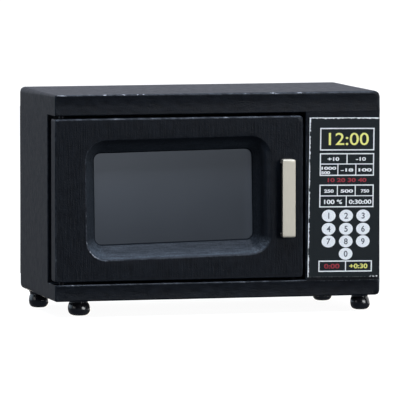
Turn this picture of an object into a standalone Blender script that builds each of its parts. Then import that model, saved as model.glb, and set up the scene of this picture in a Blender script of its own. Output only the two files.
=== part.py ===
"""A 1:12 dollhouse microwave oven, put together like the wooden toy.

Metres, +Z up, the front faces -Y. The origin lies on the surface that the feet stand on,
under the middle of the whole object, its handle included.
"""

import math

import bmesh
import bpy

# Cabinet
CABINET_WIDTH = 0.0500
CABINET_DEPTH = 0.0242
CABINET_HEIGHT = 0.0307
TOP_THICKNESS = 0.0031
BOTTOM_THICKNESS = 0.0027
SIDE_THICKNESS = 0.0020
BACK_THICKNESS = 0.0020
PARTITION_THICKNESS = 0.0020
SWING_ROOM = 0.0026  # between the closed door and the side wall that it turns in front of
EDGE_ROUNDING = 0.0007  # where the sanding took most, at the right end
GLUE_LINE = 0.00005

# Door
DOOR_WIDTH = 0.0379
DOOR_THICKNESS = 0.0026
DOOR_END_GAP = 0.00045  # above it and below it
DOOR_LATCH_GAP = 0.0005  # between its free edge and the control front
DOOR_REST_GAP = 0.0001  # behind it, before the partition that it closes against
DOOR_LAP = 0.0010  # of its free edge over the partition

# Window in the door
HINGE_STILE = 0.0048
LATCH_STILE = 0.0049
TOP_RAIL = 0.00315
BOTTOM_RAIL = 0.00285
COVE_WIDTH = 0.0021  # from the recess's outer outline to the opening in the door's back
COVE_HOLLOW = 0.00028  # how far the cove bows out of a straight slope
RECESS_CORNER = 0.0031
PANE_THICKNESS = 0.0008
PANE_OVERLAP = 0.0018

# Handle
HANDLE_LENGTH = 0.01165
HANDLE_DROP = 0.00015  # of its middle, below the window's
HANDLE_WIDTH = 0.0020
HANDLE_STOCK = 0.0006
HANDLE_PROUD = 0.0015
HANDLE_INNER_BEND = 0.0002
HANDLE_LEG_IN_DOOR = 0.0014
HANDLE_EDGE = 0.0002
HANDLE_GLUE = 0.00006

# Hinge pins
PIN_RADIUS = 0.0004
PIN_IN_BOARD = 0.0016
PIN_IN_DOOR = 0.0018
PIN_GLUE = 0.00003  # all round it in the board
PIN_CLEARANCE = 0.00006  # all round it in the door
PIN_END_PLAY = 0.0002
PIN_CHAMFER = 0.0001

# Control label
LABEL_THICKNESS = 0.00015
LABEL_LATCH_MARGIN = 0.0005  # from the control front's free edge to the middle of the card's side
LABEL_END_MARGIN = 0.00035  # from the card's other side to the cabinet's right end
LABEL_TOP_MARGIN = 0.0007
LABEL_BOTTOM_MARGIN = 0.00015
LABEL_TILT = math.radians(0.75)  # clockwise, as it was stuck on

# Feet
FOOT_HEIGHT = 0.00245
FOOT_RADIUS = 0.0015
FOOT_BELLY_HEIGHT = 0.0010
FOOT_SOLE_RADIUS = 0.00075
FOOT_NECK_RADIUS = 0.00129
FOOT_COLLAR_RADIUS = 0.0014
FOOT_COLLAR_HEIGHT = 0.0004
FOOT_PEG_RADIUS = 0.0006
FOOT_PEG_LENGTH = 0.0014
FOOT_PEG_CHAMFER = 0.00012
FOOT_GLUE = 0.00005
# Each foot was set by eye, so each has its own distance from the nearest side and end
FRONT_LEFT_FOOT = (0.0048, 0.0049)
FRONT_RIGHT_FOOT = (0.0019, 0.0043)
BACK_LEFT_FOOT = (0.0019, 0.0049)
BACK_RIGHT_FOOT = (0.0035, 0.0042)
STOUT_FOOT_SHARE = 1.13  # of the front left bead's radii to the others'

# How finely round forms are divided
EDGE_STEPS = 3
CORNER_STEPS = 8
COVE_STEPS = 6
ROUND_STEPS = 32
BEND_STEPS = 6
SHARP_ANGLE = math.radians(60)
MERGE_DISTANCE = 0.000001
CUT_OVERRUN = 0.0010

# Planes and lines that the pieces share
LEFT = -CABINET_WIDTH / 2
RIGHT = CABINET_WIDTH / 2
FRONT = (HANDLE_PROUD - CABINET_DEPTH) / 2
BACK = FRONT + CABINET_DEPTH
UNDERSIDE = FOOT_HEIGHT
OVEN_FLOOR = UNDERSIDE + BOTTOM_THICKNESS
TOP = UNDERSIDE + CABINET_HEIGHT
OVEN_CEILING = TOP - TOP_THICKNESS

DOOR_LEFT = LEFT
DOOR_RIGHT = DOOR_LEFT + DOOR_WIDTH
DOOR_BACK = FRONT + DOOR_THICKNESS
DOOR_BOTTOM = OVEN_FLOOR + DOOR_END_GAP
DOOR_TOP = OVEN_CEILING - DOOR_END_GAP
HINGE_X = DOOR_LEFT + DOOR_THICKNESS / 2
HINGE_Y = FRONT + DOOR_THICKNESS / 2

RECESS_LEFT = DOOR_LEFT + HINGE_STILE
RECESS_RIGHT = DOOR_RIGHT - LATCH_STILE
RECESS_BOTTOM = DOOR_BOTTOM + BOTTOM_RAIL
RECESS_TOP = DOOR_TOP - TOP_RAIL
RECESS_WIDTH = RECESS_RIGHT - RECESS_LEFT
RECESS_HEIGHT = RECESS_TOP - RECESS_BOTTOM
RECESS_X = (RECESS_LEFT + RECESS_RIGHT) / 2
RECESS_Z = (RECESS_BOTTOM + RECESS_TOP) / 2
HANDLE_X = (RECESS_RIGHT + DOOR_RIGHT) / 2
HANDLE_Z = RECESS_Z - HANDLE_DROP

INNER_FRONT = DOOR_BACK + DOOR_REST_GAP
CONTROL_LEFT = DOOR_RIGHT + DOOR_LATCH_GAP
PARTITION_LEFT = DOOR_RIGHT - DOOR_LAP

# A box's edge is known by the sides that it lies on, such as (1, 0, 1) for the right and the top.
# Each share says how much of EDGE_ROUNDING that edge was given when the wood was sanded.
TOP_BOARD_SHARES = {
    (1, 0, 1): 1.0,
    (-1, 0, 1): 0.35,
    (0, -1, 1): 0.5,
    (0, 1, 1): 0.6,
    (0, -1, -1): 0.25,
    (1, -1, 0): 0.35,
    (1, 1, 0): 0.35,
    (-1, -1, 0): 0.25,
    (-1, 1, 0): 0.35,
}
BOTTOM_BOARD_SHARES = {
    (1, 0, -1): 1.0,
    (-1, 0, -1): 0.25,
    (0, -1, -1): 0.35,
    (0, 1, -1): 0.6,
    (0, -1, 1): 0.3,
    (1, -1, 0): 0.35,
    (1, 1, 0): 0.35,
    (-1, -1, 0): 0.25,
    (-1, 1, 0): 0.35,
}
DOOR_SHARES = {
    (1, 0, 1): 1.0,
    (1, 0, -1): 1.0,
    (-1, 0, 1): 0.5,
    (-1, 0, -1): 0.5,
    (0, -1, 1): 0.45,
    (0, -1, -1): 0.35,
    (1, -1, 0): 0.4,
    (-1, -1, 0): 0.25,
    (0, 1, 1): 0.3,
    (0, 1, -1): 0.3,
    (1, 1, 0): 0.3,
    (-1, 1, 0): 0.25,
}
LEFT_SIDE_SHARES = {(-1, -1, 0): 0.25, (-1, 1, 0): 0.35}
RIGHT_SIDE_SHARES = {(1, 1, 0): 0.35}
CONTROL_FRONT_SHARES = {(-1, -1, 0): 0.35, (1, -1, 0): 0.35}


def clear_scene():
    for obj in list(bpy.data.objects):
        bpy.data.objects.remove(obj)


def new_collection(name):
    collection = bpy.data.collections.new(name)
    bpy.context.scene.collection.children.link(collection)
    return collection


def move_to(obj, collection):
    for holder in list(obj.users_collection):
        holder.objects.unlink(obj)
    collection.objects.link(obj)


def finish(obj, name, colour, roughness, metallic=0.0):
    """Names a piece, gives it its own material and puts it among the microwave's pieces."""
    obj.name = name
    obj.data.name = name
    material = bpy.data.materials.new(name)
    material.use_nodes = True
    shader = material.node_tree.nodes["Principled BSDF"]
    shader.inputs["Base Color"].default_value = (*colour, 1.0)
    shader.inputs["Roughness"].default_value = roughness
    shader.inputs["Metallic"].default_value = metallic
    obj.data.materials.clear()
    obj.data.materials.append(material)
    move_to(obj, PIECES)
    return obj


def painted(obj, name):
    return finish(obj, name, colour=(0.012, 0.014, 0.018), roughness=0.45)


def box(low, high):
    """A cube made to reach from one corner to the other, its scale applied."""
    centre = [(a + b) / 2 for a, b in zip(low, high)]
    bpy.ops.mesh.primitive_cube_add(size=1, location=centre)
    obj = bpy.context.object
    obj.scale = [b - a for a, b in zip(low, high)]
    bpy.ops.object.transform_apply(location=False, rotation=False, scale=True)
    return obj


def side_of(value):
    return (value > 0) - (value < 0)


def round_edges(obj, shares):
    """Rounds a box's edges, each by its share of EDGE_ROUNDING."""
    mesh = bmesh.new()
    mesh.from_mesh(obj.data)
    weight = mesh.edges.layers.float.new("bevel_weight_edge")
    near_middle = min(obj.dimensions) / 4
    for edge in mesh.edges:
        middle = (edge.verts[0].co + edge.verts[1].co) / 2
        place = tuple(side_of(value) if abs(value) > near_middle else 0 for value in middle)
        edge[weight] = shares.get(place, 0)
    mesh.to_mesh(obj.data)
    mesh.free()
    bevel = obj.modifiers.new("rounded edges", "BEVEL")
    bevel.limit_method = "WEIGHT"
    bevel.width = EDGE_ROUNDING
    bevel.segments = EDGE_STEPS
    obj.data.shade_smooth()
    obj.data.set_sharp_from_angle(angle=SHARP_ANGLE)


def upright_cylinder(radius, x, y, low, high):
    bpy.ops.mesh.primitive_cylinder_add(
        vertices=ROUND_STEPS, radius=radius, depth=high - low, location=(x, y, (low + high) / 2)
    )
    return bpy.context.object


def cut(obj, cutter):
    """Takes the cutter's shape out of the piece, and keeps the cutter for whoever edits it."""
    cutter.name = f"{obj.name}_cutter"
    cutter.hide_render = True
    cutter.display_type = "WIRE"
    move_to(cutter, CUTTERS)
    boolean = obj.modifiers.new(cutter.name, "BOOLEAN")
    boolean.operation = "DIFFERENCE"
    boolean.solver = "EXACT"
    boolean.object = cutter


def foot_places():
    """Each foot's name, the place of its axis and its share of the bead's radii."""
    left_x, left_y = FRONT_LEFT_FOOT
    yield "foot_front_left", LEFT + left_x, FRONT + left_y, STOUT_FOOT_SHARE
    right_x, right_y = FRONT_RIGHT_FOOT
    yield "foot_front_right", RIGHT - right_x, FRONT + right_y, 1
    left_x, left_y = BACK_LEFT_FOOT
    yield "foot_back_left", LEFT + left_x, BACK - left_y, 1
    right_x, right_y = BACK_RIGHT_FOOT
    yield "foot_back_right", RIGHT - right_x, BACK - right_y, 1


def make_top_board():
    board = painted(box((LEFT, FRONT, OVEN_CEILING), (RIGHT, BACK, TOP)), "top_board")
    round_edges(board, TOP_BOARD_SHARES)
    hole_radius = PIN_RADIUS + PIN_GLUE
    hole_top = OVEN_CEILING + PIN_IN_BOARD + PIN_GLUE
    cut(board, upright_cylinder(hole_radius, HINGE_X, HINGE_Y, OVEN_CEILING - CUT_OVERRUN, hole_top))


def make_bottom_board():
    board = painted(box((LEFT, FRONT, UNDERSIDE), (RIGHT, BACK, OVEN_FLOOR)), "bottom_board")
    round_edges(board, BOTTOM_BOARD_SHARES)
    hole_radius = PIN_RADIUS + PIN_GLUE
    hole_bottom = OVEN_FLOOR - PIN_IN_BOARD - PIN_GLUE
    cut(board, upright_cylinder(hole_radius, HINGE_X, HINGE_Y, hole_bottom, OVEN_FLOOR + CUT_OVERRUN))
    for _, x, y, _ in foot_places():
        hole_radius = FOOT_PEG_RADIUS + FOOT_GLUE
        hole_top = UNDERSIDE + FOOT_PEG_LENGTH + FOOT_GLUE
        cut(board, upright_cylinder(hole_radius, x, y, UNDERSIDE - CUT_OVERRUN, hole_top))


def make_walls():
    """The uprights between the two boards: both sides, the back and the partition."""
    low = OVEN_FLOOR + GLUE_LINE
    high = OVEN_CEILING - GLUE_LINE
    side_front = DOOR_BACK + SWING_ROOM
    left_inside = LEFT + SIDE_THICKNESS
    right_inside = RIGHT - SIDE_THICKNESS
    back_inside = BACK - BACK_THICKNESS

    left = painted(box((LEFT, side_front, low), (left_inside, BACK, high)), "left_side")
    round_edges(left, LEFT_SIDE_SHARES)

    right = painted(box((right_inside, INNER_FRONT, low), (RIGHT, BACK, high)), "right_side")
    round_edges(right, RIGHT_SIDE_SHARES)

    back_left = left_inside + GLUE_LINE
    back_right = right_inside - GLUE_LINE
    painted(box((back_left, back_inside, low), (back_right, BACK, high)), "back_board")

    partition_right = PARTITION_LEFT + PARTITION_THICKNESS
    partition_back = back_inside - GLUE_LINE
    wall = box((PARTITION_LEFT, INNER_FRONT, low), (partition_right, partition_back, high))
    painted(wall, "partition")


def make_control_front():
    low = (CONTROL_LEFT, FRONT, OVEN_FLOOR + GLUE_LINE)
    high = (RIGHT, INNER_FRONT - GLUE_LINE, OVEN_CEILING - GLUE_LINE)
    board = painted(box(low, high), "control_front")
    round_edges(board, CONTROL_FRONT_SHARES)


def make_control_label():
    """A thin card, turned a little about its middle."""
    glue_face = FRONT - GLUE_LINE
    left = CONTROL_LEFT + LABEL_LATCH_MARGIN
    bottom = OVEN_FLOOR + LABEL_BOTTOM_MARGIN
    low = (left, glue_face - LABEL_THICKNESS, bottom)
    high = (RIGHT - LABEL_END_MARGIN, glue_face, OVEN_CEILING - LABEL_TOP_MARGIN)
    card = finish(box(low, high), "control_label", colour=(0.013, 0.017, 0.024), roughness=0.35)
    card.rotation_euler = (0, LABEL_TILT, 0)


def rounded_rectangle(width, height, corner):
    """The outline's points as (x, z) about its centre, in order."""
    points = []
    signs = ((1, 1), (-1, 1), (-1, -1), (1, -1))
    for quarter, (across, up) in enumerate(signs):
        for step in range(CORNER_STEPS + 1):
            angle = (quarter + step / CORNER_STEPS) * math.pi / 2
            x = across * (width / 2 - corner) + corner * math.cos(angle)
            z = up * (height / 2 - corner) + corner * math.sin(angle)
            points.append((x, z))
    return points


def recess_sections():
    """How far in from the recess's outline the cove lies, at each depth behind the door's face."""
    slope = math.hypot(COVE_WIDTH, DOOR_THICKNESS)
    yield -CUT_OVERRUN, 0
    for step in range(COVE_STEPS + 1):
        along = step / COVE_STEPS
        bow = COVE_HOLLOW * 4 * along * (1 - along)
        depth = along * DOOR_THICKNESS + bow * COVE_WIDTH / slope
        inset = along * COVE_WIDTH - bow * DOOR_THICKNESS / slope
        yield depth, inset
    yield DOOR_THICKNESS + CUT_OVERRUN, COVE_WIDTH


def make_recess_cutter():
    """A plug lofted through the recess's sections, the shape that a cove bit run round it leaves."""
    mesh = bmesh.new()
    rings = []
    for depth, inset in recess_sections():
        outline = rounded_rectangle(
            RECESS_WIDTH - 2 * inset, RECESS_HEIGHT - 2 * inset, RECESS_CORNER - inset
        )
        rings.append([mesh.verts.new((x, depth, z)) for x, z in outline])
    for near, far in zip(rings, rings[1:]):
        for index in range(len(near)):
            mesh.faces.new((near[index - 1], near[index], far[index], far[index - 1]))
    mesh.faces.new(rings[0])
    mesh.faces.new(rings[-1])
    bmesh.ops.recalc_face_normals(mesh, faces=mesh.faces)
    data = bpy.data.meshes.new("recess")
    mesh.to_mesh(data)
    mesh.free()
    cutter = bpy.data.objects.new("recess", data)
    cutter.location = (RECESS_X, FRONT, RECESS_Z)
    bpy.context.scene.collection.objects.link(cutter)
    return cutter


def hang(obj, axis):
    """Hangs a piece of the door on the empty that stands on the hinge's axis."""
    obj.parent = axis
    obj.matrix_parent_inverse = axis.matrix_world.inverted()


def make_door_board():
    low = (DOOR_LEFT, FRONT, DOOR_BOTTOM)
    high = (DOOR_RIGHT, DOOR_BACK, DOOR_TOP)
    board = painted(box(low, high), "door_board")
    round_edges(board, DOOR_SHARES)
    cut(board, make_recess_cutter())
    hole_radius = PIN_RADIUS + PIN_CLEARANCE
    hole_depth = PIN_IN_DOOR + PIN_END_PLAY
    lower_hole = (DOOR_BOTTOM - CUT_OVERRUN, DOOR_BOTTOM + hole_depth)
    upper_hole = (DOOR_TOP - hole_depth, DOOR_TOP + CUT_OVERRUN)
    for start, end in (lower_hole, upper_hole):
        cut(board, upright_cylinder(hole_radius, HINGE_X, HINGE_Y, start, end))
    for leg_low, leg_high in handle_legs():
        low = (HANDLE_X - HANDLE_WIDTH / 2 - HANDLE_GLUE, FRONT - CUT_OVERRUN, leg_low - HANDLE_GLUE)
        high = (
            HANDLE_X + HANDLE_WIDTH / 2 + HANDLE_GLUE,
            FRONT + HANDLE_LEG_IN_DOOR + HANDLE_GLUE,
            leg_high + HANDLE_GLUE,
        )
        cut(board, box(low, high))
    return board


def make_window_pane():
    reach = COVE_WIDTH - PANE_OVERLAP
    low = (RECESS_LEFT + reach, DOOR_BACK + GLUE_LINE, RECESS_BOTTOM + reach)
    high = (RECESS_RIGHT - reach, DOOR_BACK + GLUE_LINE + PANE_THICKNESS, RECESS_TOP - reach)
    return finish(box(low, high), "window_pane", colour=(0.055, 0.065, 0.075), roughness=0.25)


def handle_legs():
    """The lowest and highest point of each leg's section."""
    bottom = HANDLE_Z - HANDLE_LENGTH / 2
    top = HANDLE_Z + HANDLE_LENGTH / 2
    return (bottom, bottom + HANDLE_STOCK), (top - HANDLE_STOCK, top)


def bend(centre_z, centre_y, radius, start, turn):
    """Points (y, z) round a bend, from the angle start through a quarter turn."""
    points = []
    for step in range(BEND_STEPS + 1):
        angle = start + turn * step / BEND_STEPS * math.pi / 2
        points.append((centre_y + radius * math.cos(angle), centre_z + radius * math.sin(angle)))
    return points


def handle_outline():
    """The staple's side view as (y, z): out along the outside, back along the inside."""
    half = HANDLE_LENGTH / 2
    leg_end = HANDLE_LEG_IN_DOOR
    outer_bend = HANDLE_INNER_BEND + HANDLE_STOCK
    bend_y = outer_bend - HANDLE_PROUD
    bend_z = half - outer_bend
    points = [(leg_end, half)]
    points += bend(bend_z, bend_y, outer_bend, math.pi / 2, 1)
    points += bend(-bend_z, bend_y, outer_bend, math.pi, 1)
    points += [(leg_end, -half), (leg_end, HANDLE_STOCK - half)]
    points += bend(-bend_z, bend_y, HANDLE_INNER_BEND, -math.pi / 2, -1)
    points += bend(bend_z, bend_y, HANDLE_INNER_BEND, math.pi, -1)
    points.append((leg_end, half - HANDLE_STOCK))
    return points


def make_door_handle():
    outline = handle_outline()
    curve = bpy.data.curves.new("door_handle", "CURVE")
    curve.dimensions = "2D"
    curve.fill_mode = "BOTH"
    curve.extrude = HANDLE_WIDTH / 2
    spline = curve.splines.new("POLY")
    spline.points.add(len(outline) - 1)
    for point, (y, z) in zip(spline.points, outline):
        point.co = (y, z, 0, 1)
    spline.use_cyclic_u = True
    strip = bpy.data.objects.new("strip", curve)
    bpy.context.scene.collection.objects.link(strip)
    strip.location = (HANDLE_X, FRONT, HANDLE_Z)
    strip.rotation_euler = (math.pi / 2, 0, math.pi / 2)
    bpy.context.view_layer.update()

    flat = strip.evaluated_get(bpy.context.evaluated_depsgraph_get())
    data = bpy.data.meshes.new_from_object(flat)
    mesh = bmesh.new()
    mesh.from_mesh(data)
    bmesh.ops.remove_doubles(mesh, verts=mesh.verts, dist=MERGE_DISTANCE)
    mesh.to_mesh(data)
    mesh.free()
    handle = bpy.data.objects.new("door_handle", data)
    bpy.context.scene.collection.objects.link(handle)
    handle.matrix_world = strip.matrix_world
    bpy.data.objects.remove(strip)

    bevel = handle.modifiers.new("rounded edges", "BEVEL")
    bevel.limit_method = "ANGLE"
    bevel.angle_limit = SHARP_ANGLE
    bevel.width = HANDLE_EDGE
    bevel.segments = EDGE_STEPS
    data.shade_smooth()
    data.set_sharp_from_angle(angle=SHARP_ANGLE)
    return finish(handle, "door_handle", colour=(0.60, 0.58, 0.54), roughness=0.3, metallic=1.0)


def turned(name, profile, x, y, z):
    """A turned piece: its profile runs down its outer side, top to bottom, and is screwed round."""
    data = bpy.data.meshes.new(name)
    points = [(radius, 0, height) for radius, height in profile]
    data.from_pydata(points, [(index, index + 1) for index in range(len(points) - 1)], [])
    obj = bpy.data.objects.new(name, data)
    bpy.context.scene.collection.objects.link(obj)
    obj.location = (x, y, z)
    screw = obj.modifiers.new("turned", "SCREW")
    screw.steps = ROUND_STEPS
    screw.render_steps = ROUND_STEPS
    screw.use_merge_vertices = True
    screw.merge_threshold = MERGE_DISTANCE
    screw.use_smooth_shade = True
    return obj


def pin_profile(length):
    return [
        (0, length),
        (PIN_RADIUS - PIN_CHAMFER, length),
        (PIN_RADIUS, length - PIN_CHAMFER),
        (PIN_RADIUS, PIN_CHAMFER),
        (PIN_RADIUS - PIN_CHAMFER, 0),
        (0, 0),
    ]


def make_hinge_pins():
    length = PIN_IN_BOARD + DOOR_END_GAP + PIN_IN_DOOR
    upper_z = OVEN_CEILING + PIN_IN_BOARD - length
    lower_z = OVEN_FLOOR - PIN_IN_BOARD
    for name, z in (("upper_hinge_pin", upper_z), ("lower_hinge_pin", lower_z)):
        pin = turned(name, pin_profile(length), HINGE_X, HINGE_Y, z)
        finish(pin, name, colour=(0.55, 0.52, 0.47), roughness=0.35, metallic=1.0)


def foot_profile(share):
    """A bead with a flattened sole, a neck under the board and a peg into it."""
    peg_top = FOOT_HEIGHT + FOOT_PEG_LENGTH
    seat = FOOT_HEIGHT - FOOT_GLUE
    profile = [
        (0, peg_top),
        (FOOT_PEG_RADIUS - FOOT_PEG_CHAMFER, peg_top),
        (FOOT_PEG_RADIUS, peg_top - FOOT_PEG_CHAMFER),
        (FOOT_PEG_RADIUS, seat),
    ]
    flare = FOOT_COLLAR_RADIUS - FOOT_NECK_RADIUS
    for step in range(BEND_STEPS):
        angle = step / BEND_STEPS * math.pi / 2
        radius = FOOT_COLLAR_RADIUS - flare * math.sin(angle)
        profile.append((share * radius, seat - FOOT_COLLAR_HEIGHT * (1 - math.cos(angle))))
    neck_angle = math.acos(FOOT_NECK_RADIUS / FOOT_RADIUS)
    shoulder = seat - FOOT_COLLAR_HEIGHT - FOOT_BELLY_HEIGHT
    for step in range(BEND_STEPS):
        angle = neck_angle * (1 - step / BEND_STEPS)
        height = FOOT_BELLY_HEIGHT + shoulder * math.sin(angle) / math.sin(neck_angle)
        profile.append((share * FOOT_RADIUS * math.cos(angle), height))
    for step in range(BEND_STEPS + 1):
        angle = step / BEND_STEPS * math.pi / 2
        radius = FOOT_SOLE_RADIUS + (FOOT_RADIUS - FOOT_SOLE_RADIUS) * math.cos(angle)
        profile.append((share * radius, FOOT_BELLY_HEIGHT * (1 - math.sin(angle))))
    profile.append((0, 0))
    return profile


def make_feet():
    for name, x, y, share in foot_places():
        foot = turned(name, foot_profile(share), x, y, 0)
        finish(foot, name, colour=(0.006, 0.006, 0.008), roughness=0.12)


clear_scene()
PIECES = new_collection("dollhouse_microwave")
CUTTERS = new_collection("cutters")

make_top_board()
make_bottom_board()
make_walls()
make_control_front()
make_control_label()
make_hinge_pins()
make_feet()

hinge_axis = bpy.data.objects.new("door_hinge_axis", None)
hinge_axis.location = (HINGE_X, HINGE_Y, 0)
PIECES.objects.link(hinge_axis)
bpy.context.view_layer.update()
for door_piece in (make_door_board(), make_window_pane(), make_door_handle()):
    hang(door_piece, hinge_axis)
for cutter in CUTTERS.objects:
    if cutter.name.startswith("door_board"):
        hang(cutter, hinge_axis)
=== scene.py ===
# %% [markdown]
# # A dollhouse microwave oven
#
# The real toy is a small wooden box, 50 mm wide, painted black. It stands on four glossy beads. A
# wooden door with a smoky window turns on two wire pins at its left edge, a bent strip of metal
# is its handle, and a printed card is glued beside it as the control panel.
#
# Everything here is built round a fixed frame: the same toy as plain solids at their real sizes.
# Each new piece takes its size and place from the solid that it stands for, so nothing has to be
# fitted later.

import math

import bmesh
import bpy
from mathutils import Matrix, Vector


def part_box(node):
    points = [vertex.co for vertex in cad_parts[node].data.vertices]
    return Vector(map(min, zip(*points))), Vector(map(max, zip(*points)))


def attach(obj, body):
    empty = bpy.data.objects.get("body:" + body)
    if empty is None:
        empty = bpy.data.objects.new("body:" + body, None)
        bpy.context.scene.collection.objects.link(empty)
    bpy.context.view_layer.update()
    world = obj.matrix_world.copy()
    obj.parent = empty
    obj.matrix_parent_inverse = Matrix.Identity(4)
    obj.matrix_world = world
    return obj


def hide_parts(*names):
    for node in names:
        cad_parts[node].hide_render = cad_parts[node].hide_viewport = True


MM = 0.001

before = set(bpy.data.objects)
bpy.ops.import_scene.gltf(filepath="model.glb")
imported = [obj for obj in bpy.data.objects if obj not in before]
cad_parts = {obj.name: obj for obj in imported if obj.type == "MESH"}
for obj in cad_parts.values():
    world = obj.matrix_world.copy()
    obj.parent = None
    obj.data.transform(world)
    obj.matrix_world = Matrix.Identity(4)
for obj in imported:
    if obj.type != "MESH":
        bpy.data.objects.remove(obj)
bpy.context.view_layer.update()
print("pieces in the frame:", len(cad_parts))

# %% [markdown]
# ## The camera
#
# The toy was photographed from far away through a long lens: its far edges are hardly shorter
# than its near ones. A camera too close would make the front look swollen. So the camera stands
# 94 cm off with a 560 mm lens, a little to the left of the front and a little above it, and a
# small shift sets the toy where the photograph has it.

# %% Set up the camera
CAMERA_TURN = math.radians(14.25)
CAMERA_RISE = math.radians(4.2)
CAMERA_DISTANCE = 0.938
CAMERA_LENS = 560.1
CAMERA_SHIFT = (0.0030, -0.0246)
CAMERA_SEES = (0.1, 20)  # from and to, in times its distance

cabinet_low = Vector(map(min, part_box("bottom_board")[0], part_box("left_side")[0]))
cabinet_high = Vector(map(max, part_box("top_board")[1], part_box("right_side")[1]))
aim = (cabinet_low + cabinet_high) / 2
towards_camera = Vector((
    -math.sin(CAMERA_TURN) * math.cos(CAMERA_RISE),
    -math.cos(CAMERA_TURN) * math.cos(CAMERA_RISE),
    math.sin(CAMERA_RISE),
))

bpy.ops.object.camera_add(location=aim + CAMERA_DISTANCE * towards_camera)
camera = bpy.context.object
camera.rotation_mode = "QUATERNION"
camera.rotation_quaternion = (-towards_camera).to_track_quat("-Z", "Y")
camera.data.lens = CAMERA_LENS
camera.data.shift_x, camera.data.shift_y = CAMERA_SHIFT
camera.data.clip_start, camera.data.clip_end = (CAMERA_DISTANCE * reach for reach in CAMERA_SEES)
bpy.context.scene.camera = camera
print("camera at", [round(value, 3) for value in camera.location])
print("it aims at", [round(value, 4) for value in aim])

# %% [markdown]
# ## Helpers for modelling by hand
#
# An operator acts on whatever is selected. So each step first deselects everything, and then
# picks the faces or edges that it wants by where they lie or which way they look, as a modeller
# clicks on them.


# %% Select in code
def only(obj):
    """Selects this object alone and makes it the active one."""
    bpy.ops.object.select_all(action="DESELECT")
    obj.select_set(True)
    bpy.context.view_layer.objects.active = obj


def open_up(obj):
    """Goes into edit mode with nothing selected."""
    only(obj)
    bpy.ops.object.mode_set(mode="EDIT")
    bpy.ops.mesh.select_all(action="DESELECT")


def close_up():
    """Comes back to object mode."""
    bpy.ops.object.mode_set(mode="OBJECT")


def pick_all():
    """In edit mode, selects the whole mesh."""
    bpy.ops.mesh.select_all(action="SELECT")


def pick_edges(obj, wanted):
    """In edit mode, selects the edges whose two ends pass the test, and no others."""
    bpy.ops.mesh.select_mode(type="EDGE")
    bpy.ops.mesh.select_all(action="DESELECT")
    mesh = bmesh.from_edit_mesh(obj.data)
    for edge in mesh.edges:
        edge.select_set(wanted(edge.verts[0].co, edge.verts[1].co))
    bmesh.update_edit_mesh(obj.data)


def pick_faces(obj, wanted):
    """In edit mode, selects the faces whose middle and normal pass the test, and no others."""
    bpy.ops.mesh.select_mode(type="FACE")
    bpy.ops.mesh.select_all(action="DESELECT")
    mesh = bmesh.from_edit_mesh(obj.data)
    for face in mesh.faces:
        face.select_set(wanted(face.calc_center_median(), face.normal))
    bmesh.update_edit_mesh(obj.data)


# %% Measure
def part_way(value, start, end):
    """How far a value has come from start to end: nothing before the one, one past the other."""
    return min(max((value - start) / (end - start), 0), 1)


def box_of(obj):
    """An object's lowest and highest corners."""
    return Vector(obj.bound_box[0]), Vector(obj.bound_box[6])


def report(obj):
    """Prints a piece's size and how many of its edges lack two faces."""
    mesh = bmesh.new()
    mesh.from_mesh(obj.data)
    loose = sum(1 for edge in mesh.edges if len(edge.link_faces) != 2)
    mesh.free()
    low, high = box_of(obj)
    size = [round(side / MM, 2) for side in high - low]
    print(f"{obj.name}: {size} mm, {len(obj.data.polygons)} faces, {loose} open edges")


# %% Start from a primitive, finish with modifiers
def name_it(obj, name):
    obj.name = name
    obj.data.name = name
    return obj


def set_down(obj):
    """Puts the object's place, turn and scale into its mesh."""
    only(obj)
    bpy.ops.object.transform_apply(location=True, rotation=True, scale=True)
    return obj


def cube(name, low, high):
    """A cube added at its size and place."""
    low, high = Vector(low), Vector(high)
    bpy.ops.object.select_all(action="DESELECT")
    bpy.ops.mesh.primitive_cube_add(size=1, location=(low + high) / 2)
    obj = name_it(bpy.context.object, name)
    obj.scale = high - low
    return set_down(obj)


def modify(obj, kind, **settings):
    """Adds a modifier, sets it and applies it."""
    only(obj)
    modifier = obj.modifiers.new(kind.lower(), kind)
    for setting, value in settings.items():
        setattr(modifier, setting, value)
    bpy.ops.object.modifier_apply(modifier=modifier.name)
    return obj


def carve(obj, tool):
    """Takes the tool's shape out of the object, and removes the tool."""
    modify(obj, "BOOLEAN", operation="DIFFERENCE", solver="EXACT", object=tool)
    bpy.data.objects.remove(tool)


def cut_across(axis, place):
    """In edit mode, cuts the whole mesh by a plane square to one axis."""
    direction = Vector((axis == 0, axis == 1, axis == 2))
    pick_all()
    bpy.ops.mesh.bisect(plane_co=direction * place, plane_no=direction)


# %% [markdown]
# ## Sanded boards
#
# The cabinet is glued together from boards about 2 to 3 mm thick. Before it was painted it was
# rubbed with sandpaper, and that took most off the ends and corners: the right end is plainly
# rounder than the left one. A board could be one bevelled cube, but wood is never quite flat. So
# the cube is first divided into small cells, each edge gets a bevel weight that says how much the
# sanding took there, and a very slight displacement leaves the faces a few hundredths of a
# millimetre uneven.
#
# Where two boards meet, the paint has closed the joint. So those edges stay square, and the walls
# reach right to the boards above and below them.

# %% Divide a cube into cells
CELL = 1.2 * MM
EDGE_ROOM = 1.15 * MM  # left whole along each side, so that no bevel runs into a cell's edge
AT_EDGE = 0.001 * MM


def cell_places(low, high):
    """Where to cut one direction of a board."""
    inner = high - low - 2 * EDGE_ROOM
    if inner < CELL / 2:
        return [(low + high) / 2]
    cells = round(inner / CELL) or 1
    return [low + EDGE_ROOM + inner * step / cells for step in range(cells + 1)]


def divide(obj, low, high):
    """Cuts a board into cells in all three directions."""
    open_up(obj)
    for axis in range(3):
        for place in cell_places(low[axis], high[axis]):
            cut_across(axis, place)
    close_up()


# %% Say how much the sanding took from each edge
ROUNDING = 1.0 * MM
ROUNDING_STEPS = 7


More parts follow.
